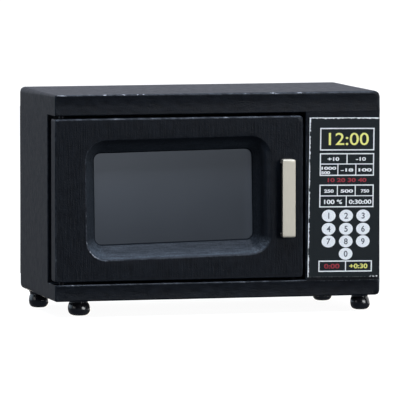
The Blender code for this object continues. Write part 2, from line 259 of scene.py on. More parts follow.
def off_edge(point, sides, low, high):
    """How far a point lies from the line of one of a box's edges.

    Sides (1, 0, 1) name the upper right edge, and (0, -1, 1) the upper front one.
    """
    gaps = [
        value - (highest if side > 0 else lowest)
        for value, side, lowest, highest in zip(point, sides, low, high)
        if side
    ]
    return math.hypot(*gaps)


def share_at(share, part):
    """An edge's share of the rounding. Where it grows along the edge, what it is part of the way."""
    return share if isinstance(share, float) else share[0] + (share[1] - share[0]) * part


def off_rounding(point, sides, share, low, high):
    """How far a point lies from the middle of a rounded edge."""
    along = sides.index(0)
    share = share_at(share, (point[along] - low[along]) / (high[along] - low[along]))
    sanded_off = (math.sqrt(2) - 1) * ROUNDING * share
    return max(off_edge(point, sides, low, high) - sanded_off, 0)


def weigh_edges(obj, shares, low, high):
    """Gives each edge its share of the rounding, stretch by stretch where that grows along it."""
    open_up(obj)
    for sides, share in shares.items():
        along = sides.index(0)
        stops = [low[along], high[along]]
        if not isinstance(share, float):
            stops[1:1] = cell_places(low[along], high[along])
        for start, end in zip(stops, stops[1:]):
            middle = ((start + end) / 2 - low[along]) / (high[along] - low[along])

            def in_stretch(a, b):
                on_line = max(off_edge(p, sides, low, high) for p in (a, b)) < AT_EDGE
                return on_line and start < (a[along] + b[along]) / 2 < end

            pick_edges(obj, in_stretch)
            bpy.ops.transform.edge_bevelweight(value=share_at(share, middle))
    close_up()


# %% Make a sanded board
UNEVEN_DEPTH = 0.035 * MM
UNEVEN_LENGTH = 7 * MM
SHARP_ANGLE = math.radians(50)

uneven_wood = bpy.data.textures.new("uneven_wood", "CLOUDS")
uneven_wood.noise_scale = UNEVEN_LENGTH
uneven_wood.noise_depth = 1


def note(obj, name, measure):
    """Keeps a number for each point, which the paint reads later."""
    kept = obj.data.attributes.new(name, "FLOAT", "POINT")
    for vertex in obj.data.vertices:
        kept.data[vertex.index].value = measure(vertex.co)


def note_edges(obj, nearest):
    """Keeps how many millimetres each point is from the nearest edge, and that edge's wear, which
    also sets its painted highlight.
    """
    note(obj, "edge_gap", lambda point: nearest(point)[0] / MM)
    note(obj, "edge_wear_and_highlight", lambda point: nearest(point)[1])


def nearest_edge(point, shares, worn, low, high):
    """How far a point of a board is from the nearest rounded edge, and how worn and painted light
    that edge is.
    """
    return min(
        (off_rounding(point, sides, share, low, high), worn.get(sides, 0))
        for sides, share in shares.items()
    )


def hollow_front(obj, low, high, depth):
    """Planes the middle of a front face away, as the rollers do that guide a thin board."""
    half = (high.z - low.z) / 2
    for vertex in obj.data.vertices:
        from_middle = (vertex.co.z - low.z - half) / half
        from_back = (high.y - vertex.co.y) / (high.y - low.y)
        vertex.co.y += depth * (1 - from_middle ** 2) * from_back


def smooth(obj):
    """Smooth shading that leaves flat faces flat and square edges sharp."""
    only(obj)
    bpy.ops.object.shade_smooth_by_angle(angle=SHARP_ANGLE)
    modify(obj, "WEIGHTED_NORMAL", mode="FACE_AREA", weight=50, keep_sharp=True)


def sand(obj, shares, low, high):
    """Divides a board and rounds each edge by its share."""
    divide(obj, low, high)
    weigh_edges(obj, shares, low, high)
    modify(obj, "BEVEL", limit_method="WEIGHT", width=ROUNDING, segments=ROUNDING_STEPS)


def sanded_board(name, low, high, shares, worn, hollow=0):
    board = cube(name, low, high)
    sand(board, shares, low, high)
    note_edges(board, lambda point: nearest_edge(point, shares, worn, low, high))
    hollow_front(board, low, high, hollow)
    modify(
        board, "DISPLACE", texture=uneven_wood, texture_coords="LOCAL",
        strength=UNEVEN_DEPTH, mid_level=1,
    )
    smooth(board)
    return board


# %% The two boards that show all round
FRONT_HOLLOW = 0.12 * MM

TOP_SHARES = {
    (1, 0, 1): 0.95,
    (-1, 0, 1): (0.2, 0.95),
    (0, -1, 1): (0.2, 0.55),
    (0, 1, 1): 0.5,
    (0, -1, -1): 0.16,
    (1, -1, 0): 0.5,
    (1, 1, 0): 0.4,
    (-1, -1, 0): 0.2,
    (-1, 1, 0): 0.65,
}
# wear of each edge, which also paints its highlight
TOP_WORN_AND_LIT = {(0, -1, 1): 0.5, (1, 0, 1): 0.5, (1, -1, 0): 0.3, (-1, -1, 0): 0.2}
BOTTOM_SHARES = {
    (1, 0, -1): 0.8,
    (-1, 0, -1): (0.15, 1.0),
    (0, -1, -1): 0.25,
    (0, 1, -1): 0.5,
    (0, -1, 1): 0.2,
    (1, -1, 0): 0.4,
    (1, 1, 0): 0.4,
    (-1, -1, 0): 0.2,
    (-1, 1, 0): 0.8,
}
# wear of each edge, which also paints its highlight
BOTTOM_WORN_AND_LIT = {(0, -1, 1): 0.8, (1, -1, 0): 0.3, (-1, -1, 0): 0.2}
FLOOR_SANDED = 0.18 * MM  # off the bottom board's upper face

top_low, top_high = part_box("top_board")
bottom_low, bottom_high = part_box("bottom_board")
bottom_high.z -= FLOOR_SANDED
top_board = sanded_board(
    "painted_top_board", top_low, top_high, TOP_SHARES, TOP_WORN_AND_LIT, FRONT_HOLLOW
)
bottom_board = sanded_board(
    "painted_bottom_board", bottom_low, bottom_high, BOTTOM_SHARES, BOTTOM_WORN_AND_LIT, FRONT_HOLLOW
)
report(top_board)
report(bottom_board)


# %% The walls between them
WALL_LAP = 0.15 * MM


def wall(node, shares, worn=None):
    """A wall, which fills the thin joints above and below it and ends just inside both boards."""
    low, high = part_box(node)
    low.z, high.z = bottom_high.z - WALL_LAP, top_low.z + WALL_LAP
    piece = sanded_board(f"painted_{node}", low, high, shares, worn or {})
    report(piece)
    return piece


left_side = wall(
    "left_side",
    {(-1, -1, 0): 0.2, (-1, 1, 0): 0.5, (1, -1, 0): 0.15},
    {(-1, -1, 0): 0.2},
)
right_side = wall("right_side", {(1, 1, 0): 0.4})
back_board = wall("back_board", {(1, 0, 1): 0.02})  # glued all round, so hardly sanded
partition = wall("partition", {(-1, -1, 0): 0.1})
control_front = wall(
    "control_front",
    {(-1, -1, 0): 0.25, (1, -1, 0): 0.4},
    {(-1, -1, 0): 0.3, (1, -1, 0): 0.2},
)

# %% [markdown]
# ## The door
#
# The door is one board with a window cut through it, and a round-nosed cutter has hollowed the
# rim of the window into a sloping recess. On the real toy the cutter runs round a template. Here
# a plug of the same shape is modelled and taken out of the board: a cube gets round corners, and
# its back face is then inset again and again, each time a little deeper, along the hollow curve
# that the cutter leaves.

# %% The plug that cuts the recess
RECESS_LAP = 0.3 * MM  # from the recess's outline in to the edge of the pane behind it
RECESS_CORNER = 3.1 * MM
RECESS_SILL = 0.2 * MM  # the lower rim lies this much higher than the outline
RECESS_TURN = math.radians(0.8)
RECESS_TAPER = 0.22 * MM  # the right end of its lower side lies this much higher again
COVE_WIDTH = 2.1 * MM
COVE_HOLLOW = 0.07 * MM
COVE_STEPS = 14
COVE_SLIP = Vector((-0.21, 0, 0.07)) * MM  # of the inner opening against the rim
COVE_SPREAD = 0.21 * MM
RIM_ROUNDING = 0.12 * MM
RIM_ARC = math.radians(60)
RIM_STEPS = 4
CORNER_STEPS = 20
OVERRUN = 1.0 * MM

door_low, door_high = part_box("door_board")
pane_low, pane_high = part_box("window_pane")
door_thickness = door_high.y - door_low.y
rim_low = Vector((pane_low.x - RECESS_LAP, door_low.y, pane_low.z - RECESS_LAP + RECESS_SILL))
rim_high = Vector((pane_high.x + RECESS_LAP, door_low.y, pane_high.z + RECESS_LAP))
rim_middle = (rim_low + rim_high) / 2


def cove_line():
    """Inset and depth of each ring of the recess: a small rounded rim, then the hollow slope."""
    for step in range(1, RIM_STEPS + 1):
        angle = step / RIM_STEPS * RIM_ARC
        yield RIM_ROUNDING * math.sin(angle), RIM_ROUNDING * (1 - math.cos(angle))
    start_inset = RIM_ROUNDING * math.sin(RIM_ARC)
    start_depth = RIM_ROUNDING * (1 - math.cos(RIM_ARC))
    width = COVE_WIDTH + RIM_ROUNDING - start_inset
    depth = door_thickness - start_depth
    slope = math.hypot(width, depth)
    for step in range(1, COVE_STEPS + 1):
        along = step / COVE_STEPS
        bow = COVE_HOLLOW * 4 * along * (1 - along)
        yield (
            start_inset + along * width - bow * depth / slope,
            start_depth + along * depth + bow * width / slope,
        )


# %% [markdown]
# The right side of the recess was sanded far more than the others: there is no rim left, and the
# face of the door rolls over into the slope. So on that side the rings near the rim are spread
# outwards and pushed back towards the front. Round the two corners this fades out, as the side
# turns from upright to level.

# %% Soften the right side
SHOULDER_SPREAD = 0.10 * MM
SHOULDER_START = 0.38  # how far down the slope it starts to turn, and where it runs straight
SHOULDER_END = 0.72
SHOULDER_FALL = 0.04  # of the depth, lost evenly


def from_rim(x, z):
    """How far a place lies outside the rim, seen from the recess's middle, and to which side."""
    past_x = abs(x) - (rim_high.x - rim_middle.x - RECESS_CORNER)
    past_z = abs(z) - (rim_high.z - rim_middle.z - RECESS_CORNER)
    if past_x > 0 and past_z > 0:
        away = math.hypot(past_x, past_z)
        side = (math.copysign(past_x / away, x), math.copysign(past_z / away, z))
    elif past_x > past_z:
        away, side = past_x, (math.copysign(1, x), 0)
    else:
        away, side = past_z, (0, math.copysign(1, z))
    return away - RECESS_CORNER, side


def eased(sunk):
    """Keeps the start of a straight slope nearly level, then turns it down into a steeper one."""
    steepness = 1 / (1 - (SHOULDER_START + SHOULDER_END) / 2)
    turned = min(max(sunk - SHOULDER_START, 0), SHOULDER_END - SHOULDER_START)
    straight = max(sunk - SHOULDER_END, 0)
    curve = steepness * (turned ** 2 / 2 / (SHOULDER_END - SHOULDER_START) + straight)
    return SHOULDER_FALL * sunk + (1 - SHOULDER_FALL) * curve


def soften_side(plug):
    for vertex in plug.data.vertices:
        sunk = part_way(vertex.co.y, door_low.y, door_high.y)
        side = from_rim(vertex.co.x - rim_middle.x, vertex.co.z - rim_middle.z)[1]
        share = max(side[0], 0) ** 2
        vertex.co.x += share * SHOULDER_SPREAD * (1 - sunk)
        vertex.co.y += share * door_thickness * (eased(sunk) - sunk)


def taper(plug):
    """Raises the right end of the lower side."""
    for vertex in plug.data.vertices:
        rightwards = part_way(vertex.co.x, rim_low.x, rim_high.x)
        downwards = part_way(vertex.co.z, rim_high.z, rim_low.z)
        vertex.co.z += RECESS_TAPER * rightwards * downwards


# %% Make the plug
SQUARE_ON = 0.9  # of a normal, along the way that a face looks


def recess_plug():
    plug = cube(
        "recess_plug",
        rim_low - Vector((RIM_ROUNDING, OVERRUN, RIM_ROUNDING)),
        rim_high + Vector((RIM_ROUNDING, 0, RIM_ROUNDING)),
    )
    open_up(plug)
    pick_edges(plug, lambda a, b: abs(b.y - a.y) > (b - a).length / 2)
    bpy.ops.mesh.bevel(offset=RECESS_CORNER + RIM_ROUNDING, segments=CORNER_STEPS, affect="EDGES")
    pick_faces(plug, lambda middle, normal: normal.y > SQUARE_ON)
    inset_before, depth_before = 0, 0
    for inset, depth in cove_line():
        bpy.ops.mesh.inset(thickness=inset - inset_before, depth=depth - depth_before)
        part = (depth - depth_before) / door_thickness
        bpy.ops.transform.translate(value=COVE_SLIP * part)
        spread = 1 + COVE_SPREAD * part / (rim_high.x - rim_low.x - 2 * inset)
        bpy.ops.transform.resize(value=(spread, 1, 1))
        inset_before, depth_before = inset, depth
    bpy.ops.mesh.extrude_region_move(TRANSFORM_OT_translate={"value": (0, OVERRUN, 0)})
    close_up()
    soften_side(plug)
    taper(plug)
    open_up(plug)
    pick_all()
    bpy.ops.transform.rotate(value=RECESS_TURN, orient_axis="Y", center_override=rim_middle)
    close_up()
    report(plug)
    return plug


# %% [markdown]
# The door's edges are sanded as those of the boards are. The paint is worn where hands and
# sandpaper reach: along the door's front edges, round the rim of the recess, most of all at its
# lower left corner, and on the slopes. That paler paint is also painted light: highlight along
# the edges, and light on the slopes, most of all on the lower one, which faces the lamp above.
# Masks could be painted by hand for this. Here each point of the mesh keeps a number for it,
# worked out from where the point lies, and the paint reads those numbers later.

# %% Say how rounded and how worn the door is, and where light is painted on it
DOOR_SHARES = {
    (1, 0, 1): 0.7,
    (1, 0, -1): 0.7,
    (-1, 0, 1): 0.35,
    (-1, 0, -1): 0.35,
    (0, -1, 1): 0.32,
    (0, -1, -1): 0.12,
    (1, -1, 0): 0.28,
    (-1, -1, 0): 0.17,
    (0, 1, 1): 0.2,
    (0, 1, -1): 0.2,
    (1, 1, 0): 0.2,
    (-1, 1, 0): 0.17,
}
# wear of each edge, which also paints its highlight
DOOR_WORN_AND_LIT = {(0, -1, 1): 0.8, (0, -1, -1): 0.1, (1, -1, 0): 0.25, (-1, -1, 0): 0.25}
RIM_WEAR = {"left": 0.5, "bottom": 0.45, "top": 0.05, "right": 0.0}
# the slopes' paler paint: sanding, and painted light that is strongest on the lower slope
COVE_WEAR_AND_LIGHT = {"left": 0.32, "bottom": 0.80, "top": 0.0, "right": 0.03}
DEEP_WEAR_AND_LIGHT = {"left": 0.33, "bottom": 0.34, "top": 0.22, "right": 0.30}  # down in the recess
DEEP_START = 0.15  # of the way down
DEEP_END = 0.55
RIM_CORNER_WEAR = 1.2  # more at the lower left corner
COVE_CORNER_WEAR_AND_LIGHT = 0.38
LOW_SIDE_START = 0.2  # how far a corner has turned down where the lower side begins to count
LOW_SIDE_END = 0.55


# %% Find a point's place in the recess
def at_recess(point):
    """How far a point of the door lies outside the rim of the recess, and to which side."""
    x, z = point.x - rim_middle.x, point.z - rim_middle.z
    turned_x = x * math.cos(RECESS_TURN) + z * math.sin(RECESS_TURN)
    turned_z = z * math.cos(RECESS_TURN) - x * math.sin(RECESS_TURN)
    if turned_z < 0:
        turned_z -= RECESS_TAPER * (turned_x / (rim_high.x - rim_low.x) + 0.5)
    return from_rim(turned_x, turned_z)


def side_share(side, shares):
    """Mixes what holds for the sides of the recess round its corners."""
    low_share = part_way(-side[1], LOW_SIDE_START, LOW_SIDE_END)
    rest = shares["top"] * max(side[1], 0) ** 2
    rest += shares["left" if side[0] < 0 else "right"] * side[0] ** 2
    return low_share * shares["bottom"] + (1 - low_share) * rest


def at_lower_left(side):
    """One in the middle of the recess's lower left corner, and nothing along its sides."""
    return math.sqrt(2 * max(-side[0], 0) * max(-side[1], 0))


# %% Measure the door's wear and its painted light
DOOR_GROWTH = Vector((0.15, 0, -0.2)) * MM  # towards the lower right of its opening

board_low = door_low + Vector((0, 0, DOOR_GROWTH.z))
board_high = door_high + Vector((DOOR_GROWTH.x, 0, 0))


def at_door_edge(point):
    outer = nearest_edge(point, DOOR_SHARES, DOOR_WORN_AND_LIT, board_low, board_high)
    beyond, side = at_recess(point)
    worn = side_share(side, RIM_WEAR) + RIM_CORNER_WEAR * at_lower_left(side)
    return min(outer, (math.hypot(beyond - RIM_ROUNDING / 2, point.y - door_low.y), worn))


def cove_wear(point):
    """How much the slope of the recess is rubbed and painted light. The face of the door isn't."""
    beyond, side = at_recess(point)
    sunk = (point.y - door_low.y) / door_thickness
    if beyond > 0 or sunk < AT_EDGE / MM:
        return 0
    deep = part_way(sunk, DEEP_START, DEEP_END)
    worn = (1 - deep) * side_share(side, COVE_WEAR_AND_LIGHT) + deep * side_share(side, DEEP_WEAR_AND_LIGHT)
    return worn + COVE_CORNER_WEAR_AND_LIGHT * at_lower_left(side)


def cove_depth(point):
    inside = at_recess(point)[0] < 0
    return (point.y - door_low.y) / door_thickness if inside else 0


# %% Cut the door and drill it for its pins
PIN_ROOM = 0.06 * MM
PIN_SIDES = 32


def drill(obj, pin_node):
    """Drills the hole that one hinge pin turns in, a little wider and longer than the pin."""
    pin_low, pin_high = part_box(pin_node)
    bpy.ops.object.select_all(action="DESELECT")
    bpy.ops.mesh.primitive_cylinder_add(
        vertices=PIN_SIDES,
        radius=(pin_high.x - pin_low.x) / 2 + PIN_ROOM,
        depth=pin_high.z - pin_low.z + 2 * PIN_ROOM,
        location=(pin_low + pin_high) / 2,
    )
    carve(obj, set_down(bpy.context.object))


door_board = cube("painted_door", board_low, board_high)
sand(door_board, DOOR_SHARES, board_low, board_high)
carve(door_board, recess_plug())
drill(door_board, "upper_hinge_pin")
drill(door_board, "lower_hinge_pin")
note_edges(door_board, at_door_edge)
note(door_board, "cove_wear", cove_wear)
note(door_board, "cove_depth", cove_depth)
smooth(door_board)
report(door_board)

# %% [markdown]
# ## The window pane
#
# A sheet of smoky plastic is glued behind the opening. Its own edges hide behind the door, so it
# only needs to be a sheet with slightly broken edges. A sheet this thin is never dead flat, and a
# faint bow makes its reflection drift across it. Dividing the face and displacing it by a large,
# weak pattern gives that bow.

# %% Make the pane
PANE_EDGE = 0.08 * MM
PANE_EDGE_STEPS = 2
PANE_BOW = 0.03 * MM
PANE_BOW_LENGTH = 14 * MM

bowed_sheet = bpy.data.textures.new("bowed_sheet", "CLOUDS")
bowed_sheet.noise_scale = PANE_BOW_LENGTH
bowed_sheet.noise_depth = 0

window_pane = cube("smoky_pane", pane_low, pane_high)
divide(window_pane, pane_low, pane_high)
modify(
    window_pane, "BEVEL", limit_method="ANGLE", width=PANE_EDGE, segments=PANE_EDGE_STEPS
)
modify(
    window_pane, "DISPLACE", texture=bowed_sheet, texture_coords="LOCAL",
    strength=PANE_BOW, mid_level=1,
)
smooth(window_pane)
report(window_pane)

# %% [markdown]
# ## The handle
#
# A strip of metal, 2 mm wide and 0.6 mm thick, is bent twice at its ends, and both legs are
# pushed into slots in the door. One could sweep a rectangle along a curve. Here the bar starts as
# a cube, the legs are extruded from its back, and the two bends are wide bevels, which also keeps
# the metal's thickness even.

# %% Make the handle
STRIP = 0.6 * MM
OUTER_BEND = 0.22 * MM
INNER_BEND = 0.1 * MM
BEND_STEPS = 8
STRIP_EDGE = 0.14 * MM
STRIP_EDGE_STEPS = 4
STRIP_CORNER = 0.28 * MM

handle_low, handle_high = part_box("door_handle")
bar_back = handle_low.y + STRIP


def from_handle_end(point):
    """How far a point lies from the nearer end of the handle, along it."""
    return min(point.z - handle_low.z, handle_high.z - point.z)


def runs_across(a, b):
    """Whether the edge between two points runs across the strip."""
    return abs(b.x - a.x) > (b - a).length / 2


def round_corners(handle):
    """Draws the strip in at both ends, so that its corners are round as seen from the front."""
    middle = (handle_low.x + handle_high.x) / 2
    for vertex in handle.data.vertices:
        from_end = max(from_handle_end(vertex.co), 0)
        if from_end < STRIP_CORNER:
            short = STRIP_CORNER - math.sqrt(STRIP_CORNER ** 2 - (STRIP_CORNER - from_end) ** 2)
            vertex.co.x += (middle - vertex.co.x) * short / (handle_high.x - middle)


def make_handle():
    handle = cube("metal_handle", handle_low, (handle_high.x, bar_back, handle_high.z))
    open_up(handle)
    for height in (handle_low.z + STRIP, handle_high.z - STRIP):
        cut_across(2, height)

    def leg_root(middle, normal):
        return normal.y > SQUARE_ON and from_handle_end(middle) < STRIP

    pick_faces(handle, leg_root)
    leg = (0, handle_high.y - bar_back, 0)
    bpy.ops.mesh.extrude_region_move(TRANSFORM_OT_translate={"value": leg})

    def outer_bend(a, b):
        at_front = a.y - handle_low.y < AT_EDGE
        return runs_across(a, b) and at_front and from_handle_end(a) < AT_EDGE

    pick_edges(handle, outer_bend)
    bpy.ops.mesh.bevel(offset=OUTER_BEND, segments=BEND_STEPS, affect="EDGES")

    def inner_bend(a, b):
        at_back = abs(a.y - bar_back) < AT_EDGE
        return runs_across(a, b) and at_back and abs(from_handle_end(a) - STRIP) < AT_EDGE

    pick_edges(handle, inner_bend)
    bpy.ops.mesh.bevel(offset=INNER_BEND, segments=BEND_STEPS // 2, affect="EDGES")
    close_up()
    modify(
        handle, "BEVEL", limit_method="ANGLE", angle_limit=SHARP_ANGLE,
        width=STRIP_EDGE, segments=STRIP_EDGE_STEPS,
    )
    half_width = (handle_high.x - handle_low.x) / 2
    # how near each point is to the strip's sides, where the metal gets painted shade
    note(handle, "shaded_side", lambda point: abs(point.x - handle_low.x - half_width) / half_width)
    round_corners(handle)
    smooth(handle)
    return handle


door_handle = make_handle()
report(door_handle)

# %% [markdown]
# ## The feet
#
# Each foot is a wooden bead on a short peg, dipped in glossy black. Paint has run up round its
# neck and flares out where it meets the cabinet. A turned shape like this could be spun from a
# profile. Here it grows ring by ring, as one draws a pot on a wheel: a circle is filled for the
# sole, and its face is extruded upwards and scaled to the next radius each time.

# %% Shape one foot and set it down four times
FOOT_BELLY = 1.5 * MM
FOOT_BELLY_HEIGHT = 0.92 * MM
FOOT_SOLE = 0.82 * MM
FOOT_NECK = 1.25 * MM
FOOT_COLLAR = 1.45 * MM
FOOT_COLLAR_HEIGHT = 0.5 * MM
FOOT_LEAN = 0.1 * MM  # of the neck to the left of the bead
LEAN_START = 0.3  # of the foot's height
LEAN_END = 0.8
FOOT_PEG = 0.6 * MM
FOOT_SIDES = 48
FOOT_STEPS = 9
FOOT_NODES = ("foot_front_left", "foot_front_right", "foot_back_left", "foot_back_right")


def foot_line(seat, peg_top):
    """Radius and height of each ring above the sole."""
    for step in range(1, FOOT_STEPS + 1):
        angle = step / FOOT_STEPS * math.pi / 2
        radius = FOOT_SOLE + (FOOT_BELLY - FOOT_SOLE) * math.sin(angle)
        yield radius, FOOT_BELLY_HEIGHT * (1 - math.cos(angle))
    neck_angle = math.acos(FOOT_NECK / FOOT_BELLY)
    shoulder = seat - FOOT_COLLAR_HEIGHT - FOOT_BELLY_HEIGHT
    for step in range(1, FOOT_STEPS + 1):
        angle = neck_angle * step / FOOT_STEPS
        height = FOOT_BELLY_HEIGHT + shoulder * math.sin(angle) / math.sin(neck_angle)
        yield FOOT_BELLY * math.cos(angle), height
    for step in range(1, FOOT_STEPS + 1):
        angle = step / FOOT_STEPS * math.pi / 2
        radius = FOOT_NECK + (FOOT_COLLAR - FOOT_NECK) * (1 - math.cos(angle))
        yield radius, seat - FOOT_COLLAR_HEIGHT * (1 - math.sin(angle))
    yield FOOT_PEG, seat
    yield FOOT_PEG, peg_top


def make_foot():
    bpy.ops.object.select_all(action="DESELECT")
    bpy.ops.mesh.primitive_circle_add(vertices=FOOT_SIDES, radius=FOOT_SOLE, fill_type="NGON")
    foot = name_it(bpy.context.object, "bead_foot")
    peg_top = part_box("foot_front_right")[1].z
    open_up(foot)
    pick_all()
    radius_before, height_before = FOOT_SOLE, 0
    for radius, height in foot_line(bottom_low.z, peg_top):
        rise = (0, 0, height - height_before)
        bpy.ops.mesh.extrude_region_move(TRANSFORM_OT_translate={"value": rise})
        ratio = radius / radius_before
        bpy.ops.transform.resize(value=(ratio, ratio, 1))
        radius_before, height_before = radius, height
    pick_all()
    bpy.ops.mesh.normals_make_consistent(inside=False)
    close_up()
    for vertex in foot.data.vertices:
        vertex.co.x -= FOOT_LEAN * part_way(vertex.co.z / bottom_low.z, LEAN_START, LEAN_END)
    only(foot)
    bpy.ops.object.shade_smooth_by_angle(angle=SHARP_ANGLE)
    return foot


def copy_foot(pattern, node):
    """Copies the foot and widens it to the size of the one that it stands for."""
    only(pattern)
    bpy.ops.object.duplicate()
    foot = name_it(bpy.context.object, f"bead_{node}")
    low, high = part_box(node)
    widening = (high.x - low.x) / (2 * FOOT_BELLY)
    foot.location = ((low.x + high.x) / 2, (low.y + high.y) / 2, 0)
    foot.scale = (widening, widening, 1)
    return set_down(foot)


pattern_foot = make_foot()
feet = [copy_foot(pattern_foot, node) for node in FOOT_NODES]
bpy.data.objects.remove(pattern_foot)
for foot in feet:
    report(foot)

# %% [markdown]
# ## The control panel
#
# The panel is a piece of printed card, cut out with a knife a little outside the print and stuck
# on slightly turned. Its keys are only printed. So the card is a thin sheet, and each colour of
# ink is a layer of flat shapes a hundredth of a millimetre thick. All of it is first laid out
# square, and at the end card and inks are turned together about the card's middle.

# %% Make the card
CARD_TILT = math.radians(0.75)
CARD_EDGE = 0.02 * MM
CARD_EDGE_STEPS = 2
CARD_WIDTH = 10.75 * MM
CARD_HEIGHT = 24.05 * MM
CARD_OVERHANG = 0.08 * MM  # of its left edge, towards the door
CARD_TRIM = 0.15 * MM  # cut off its top

card_low, card_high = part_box("control_label")
card_middle = (card_low + card_high) / 2
card_half_width, card_half_height = CARD_WIDTH / 2, CARD_HEIGHT / 2
card_left = card_middle.x - card_half_width - CARD_OVERHANG
card_bottom = card_middle.z - card_half_height

control_card = cube(
    "printed_card",
    (card_left, card_low.y, card_bottom),
    (card_middle.x + card_half_width, card_high.y, card_middle.z + card_half_height - CARD_TRIM),
)
divide(control_card, *box_of(control_card))
modify(
    control_card, "BEVEL", limit_method="ANGLE", width=CARD_EDGE, segments=CARD_EDGE_STEPS
)
report(control_card)

# %% Rule the frames
INK = 0.012 * MM
INK_ROOT = 0.006 * MM  # of each ink shape below the card's face
LINE = 0.17 * MM
THIN_LINE = 0.15 * MM
FACING_FRONT = (math.pi / 2, 0, 0)

INK_NAMES = {
    "white": "ink_white_lines",
    "red": "ink_red_signs",
    "yellow": "ink_yellow_signs",
    "key": "ink_key_discs",
    "grey": "ink_key_digits",
    "lamp": "ink_lamp_digits",
}
ink_shapes = {colour: [] for colour in INK_NAMES}


def on_card(x, z):
    """A place just under the card's face, measured from the card's lower left corner."""
    return card_left + x, card_low.y + INK_ROOT, card_bottom + z


def ink_plane(left, right, bottom, top):
    """A plane on the card, its sides measured from the card's lower left corner."""
    width, height = right - left, top - bottom
    bpy.ops.object.select_all(action="DESELECT")
    bpy.ops.mesh.primitive_plane_add(
        size=1, location=on_card(left + width / 2, bottom + height / 2), rotation=FACING_FRONT
    )
    plane = bpy.context.object
    plane.scale = (width, height, 1)
    return set_down(plane)


def thicken(sheet):
    """Gives a flat shape the thickness of a layer of ink, towards the viewer."""
    open_up(sheet)
    pick_all()
    bpy.ops.mesh.extrude_region_move(TRANSFORM_OT_translate={"value": (0, -INK - INK_ROOT, 0)})
    pick_all()
    bpy.ops.mesh.normals_make_consistent(inside=False)
    close_up()
    return sheet


def ruled_frame(left, right, bottom, top, shelf=None, upper=(), lower=()):
    """A frame of lines: a sheet is cut along both sides of each line, and the rest is taken away."""
    sheet = ink_plane(left, right, bottom, top)
    uprights = [(left + LINE / 2, bottom, top, LINE), (right - LINE / 2, bottom, top, LINE)]
    uprights += [(place, shelf or bottom, top, THIN_LINE) for place in upper]
    uprights += [(place, bottom, shelf, THIN_LINE) for place in lower]
    rules = [(bottom + LINE / 2, LINE), (top - LINE / 2, LINE)]
    if shelf:
        rules.append((shelf, THIN_LINE))

    open_up(sheet)
    for place, *_, width in uprights:
        for side in (-width / 2, width / 2):
            cut_across(0, card_left + place + side)
    for place, width in rules:
        for side in (-width / 2, width / 2):
            cut_across(2, card_bottom + place + side)

    def blank(middle, normal):
        x, z = middle.x - card_left, middle.z - card_bottom
        on_rule = any(abs(z - place) < width / 2 for place, width in rules)
        on_upright = any(
            abs(x - place) < width / 2 and low < z < high for place, low, high, width in uprights
        )
        return not on_rule and not on_upright

    pick_faces(sheet, blank)
    bpy.ops.mesh.delete(type="FACE")
    close_up()
    ink_shapes["white"].append(thicken(sheet))


# %% Place the four frames
FRAME_LEFT = 1.64
FRAMES = [  # left, right, bottom, top, shelf, lines above the shelf and lines below it, in mm
    (FRAME_LEFT, 10.06, 18.98, 22.36, None, (), ()),
    (FRAME_LEFT, 10.06, 15.18, 18.57, 16.95, (5.85,), (4.45, 7.24)),
    (FRAME_LEFT, 10.06, 10.45, 13.87, 12.18, (4.42, 7.19), (5.82,)),
    (FRAME_LEFT, 9.94, 0.79, 2.48, 0.79, (5.85,), ()),
]

for left, right, bottom, top, shelf, upper, lower in FRAMES:
    ruled_frame(
        left * MM, right * MM, bottom * MM, top * MM, shelf and shelf * MM,
        upper=[place * MM for place in upper], lower=[place * MM for place in lower],
    )
print("frames ruled:", len(FRAMES))


# %% Print the round keys
KEY_COLUMNS = (3.14 * MM, 5.84 * MM, 8.48 * MM)
KEY_ROWS = (9.20 * MM, 7.23 * MM, 5.35 * MM, 3.48 * MM)
KEY_WIDTH = 2.12 * MM
KEY_HEIGHT = 1.80 * MM
KEY_SIDES = 40
KEY_DIGIT_HEIGHT = 0.9 * MM
KEY_BOLDER = 0.015 * MM


def ink_disc(colour, x, z, width, height):
    bpy.ops.object.select_all(action="DESELECT")
    bpy.ops.mesh.primitive_circle_add(
        vertices=KEY_SIDES, radius=0.5, fill_type="NGON",
        location=on_card(x, z), rotation=FACING_FRONT,
    )
    disc = bpy.context.object
    disc.scale = (width, height, 1)
    ink_shapes[colour].append(thicken(set_down(disc)))


def ink_digits(colour, figures, x, z, height, width=None, lift=0, bolder=0):
    """Figures whose middle lies at a place on the card, as high and wide as they are told."""
    bpy.ops.object.select_all(action="DESELECT")
    bpy.ops.object.text_add(rotation=FACING_FRONT)
    writing = bpy.context.object
    writing.data.body = figures
    writing.data.size = height
    writing.data.offset = bolder
    writing.data.extrude = INK / 2
    bpy.ops.object.convert(target="MESH")
    digits = set_down(bpy.context.object)
    low, high = box_of(digits)
    middle, size = (low + high) / 2, high - low
    rise = height / size.z
    stretch = width / size.x if width else rise
    digits.location = (
        card_left + x - middle.x * stretch,
        card_low.y - lift - INK / 2,
        card_bottom + z - middle.z * rise,
    )
    digits.scale = (stretch, 1, rise)
    ink_shapes[colour].append(set_down(digits))


for number in range(10):
    row, column = divmod(number - 1, 3) if number else (3, 1)
    x, z = KEY_COLUMNS[column], KEY_ROWS[row]
    ink_disc("key", x, z, KEY_WIDTH, KEY_HEIGHT)
    ink_digits("grey", str(number), x, z, KEY_DIGIT_HEIGHT, lift=INK, bolder=KEY_BOLDER)
print("keys printed:", len(ink_shapes["key"]))

# %% [markdown]
# The keys in the frames carry plain numbers, such as an oven has for its minutes, its power and
# its weights. They are so small that the print has filled in their corners, so they are drawn a
# little bolder.

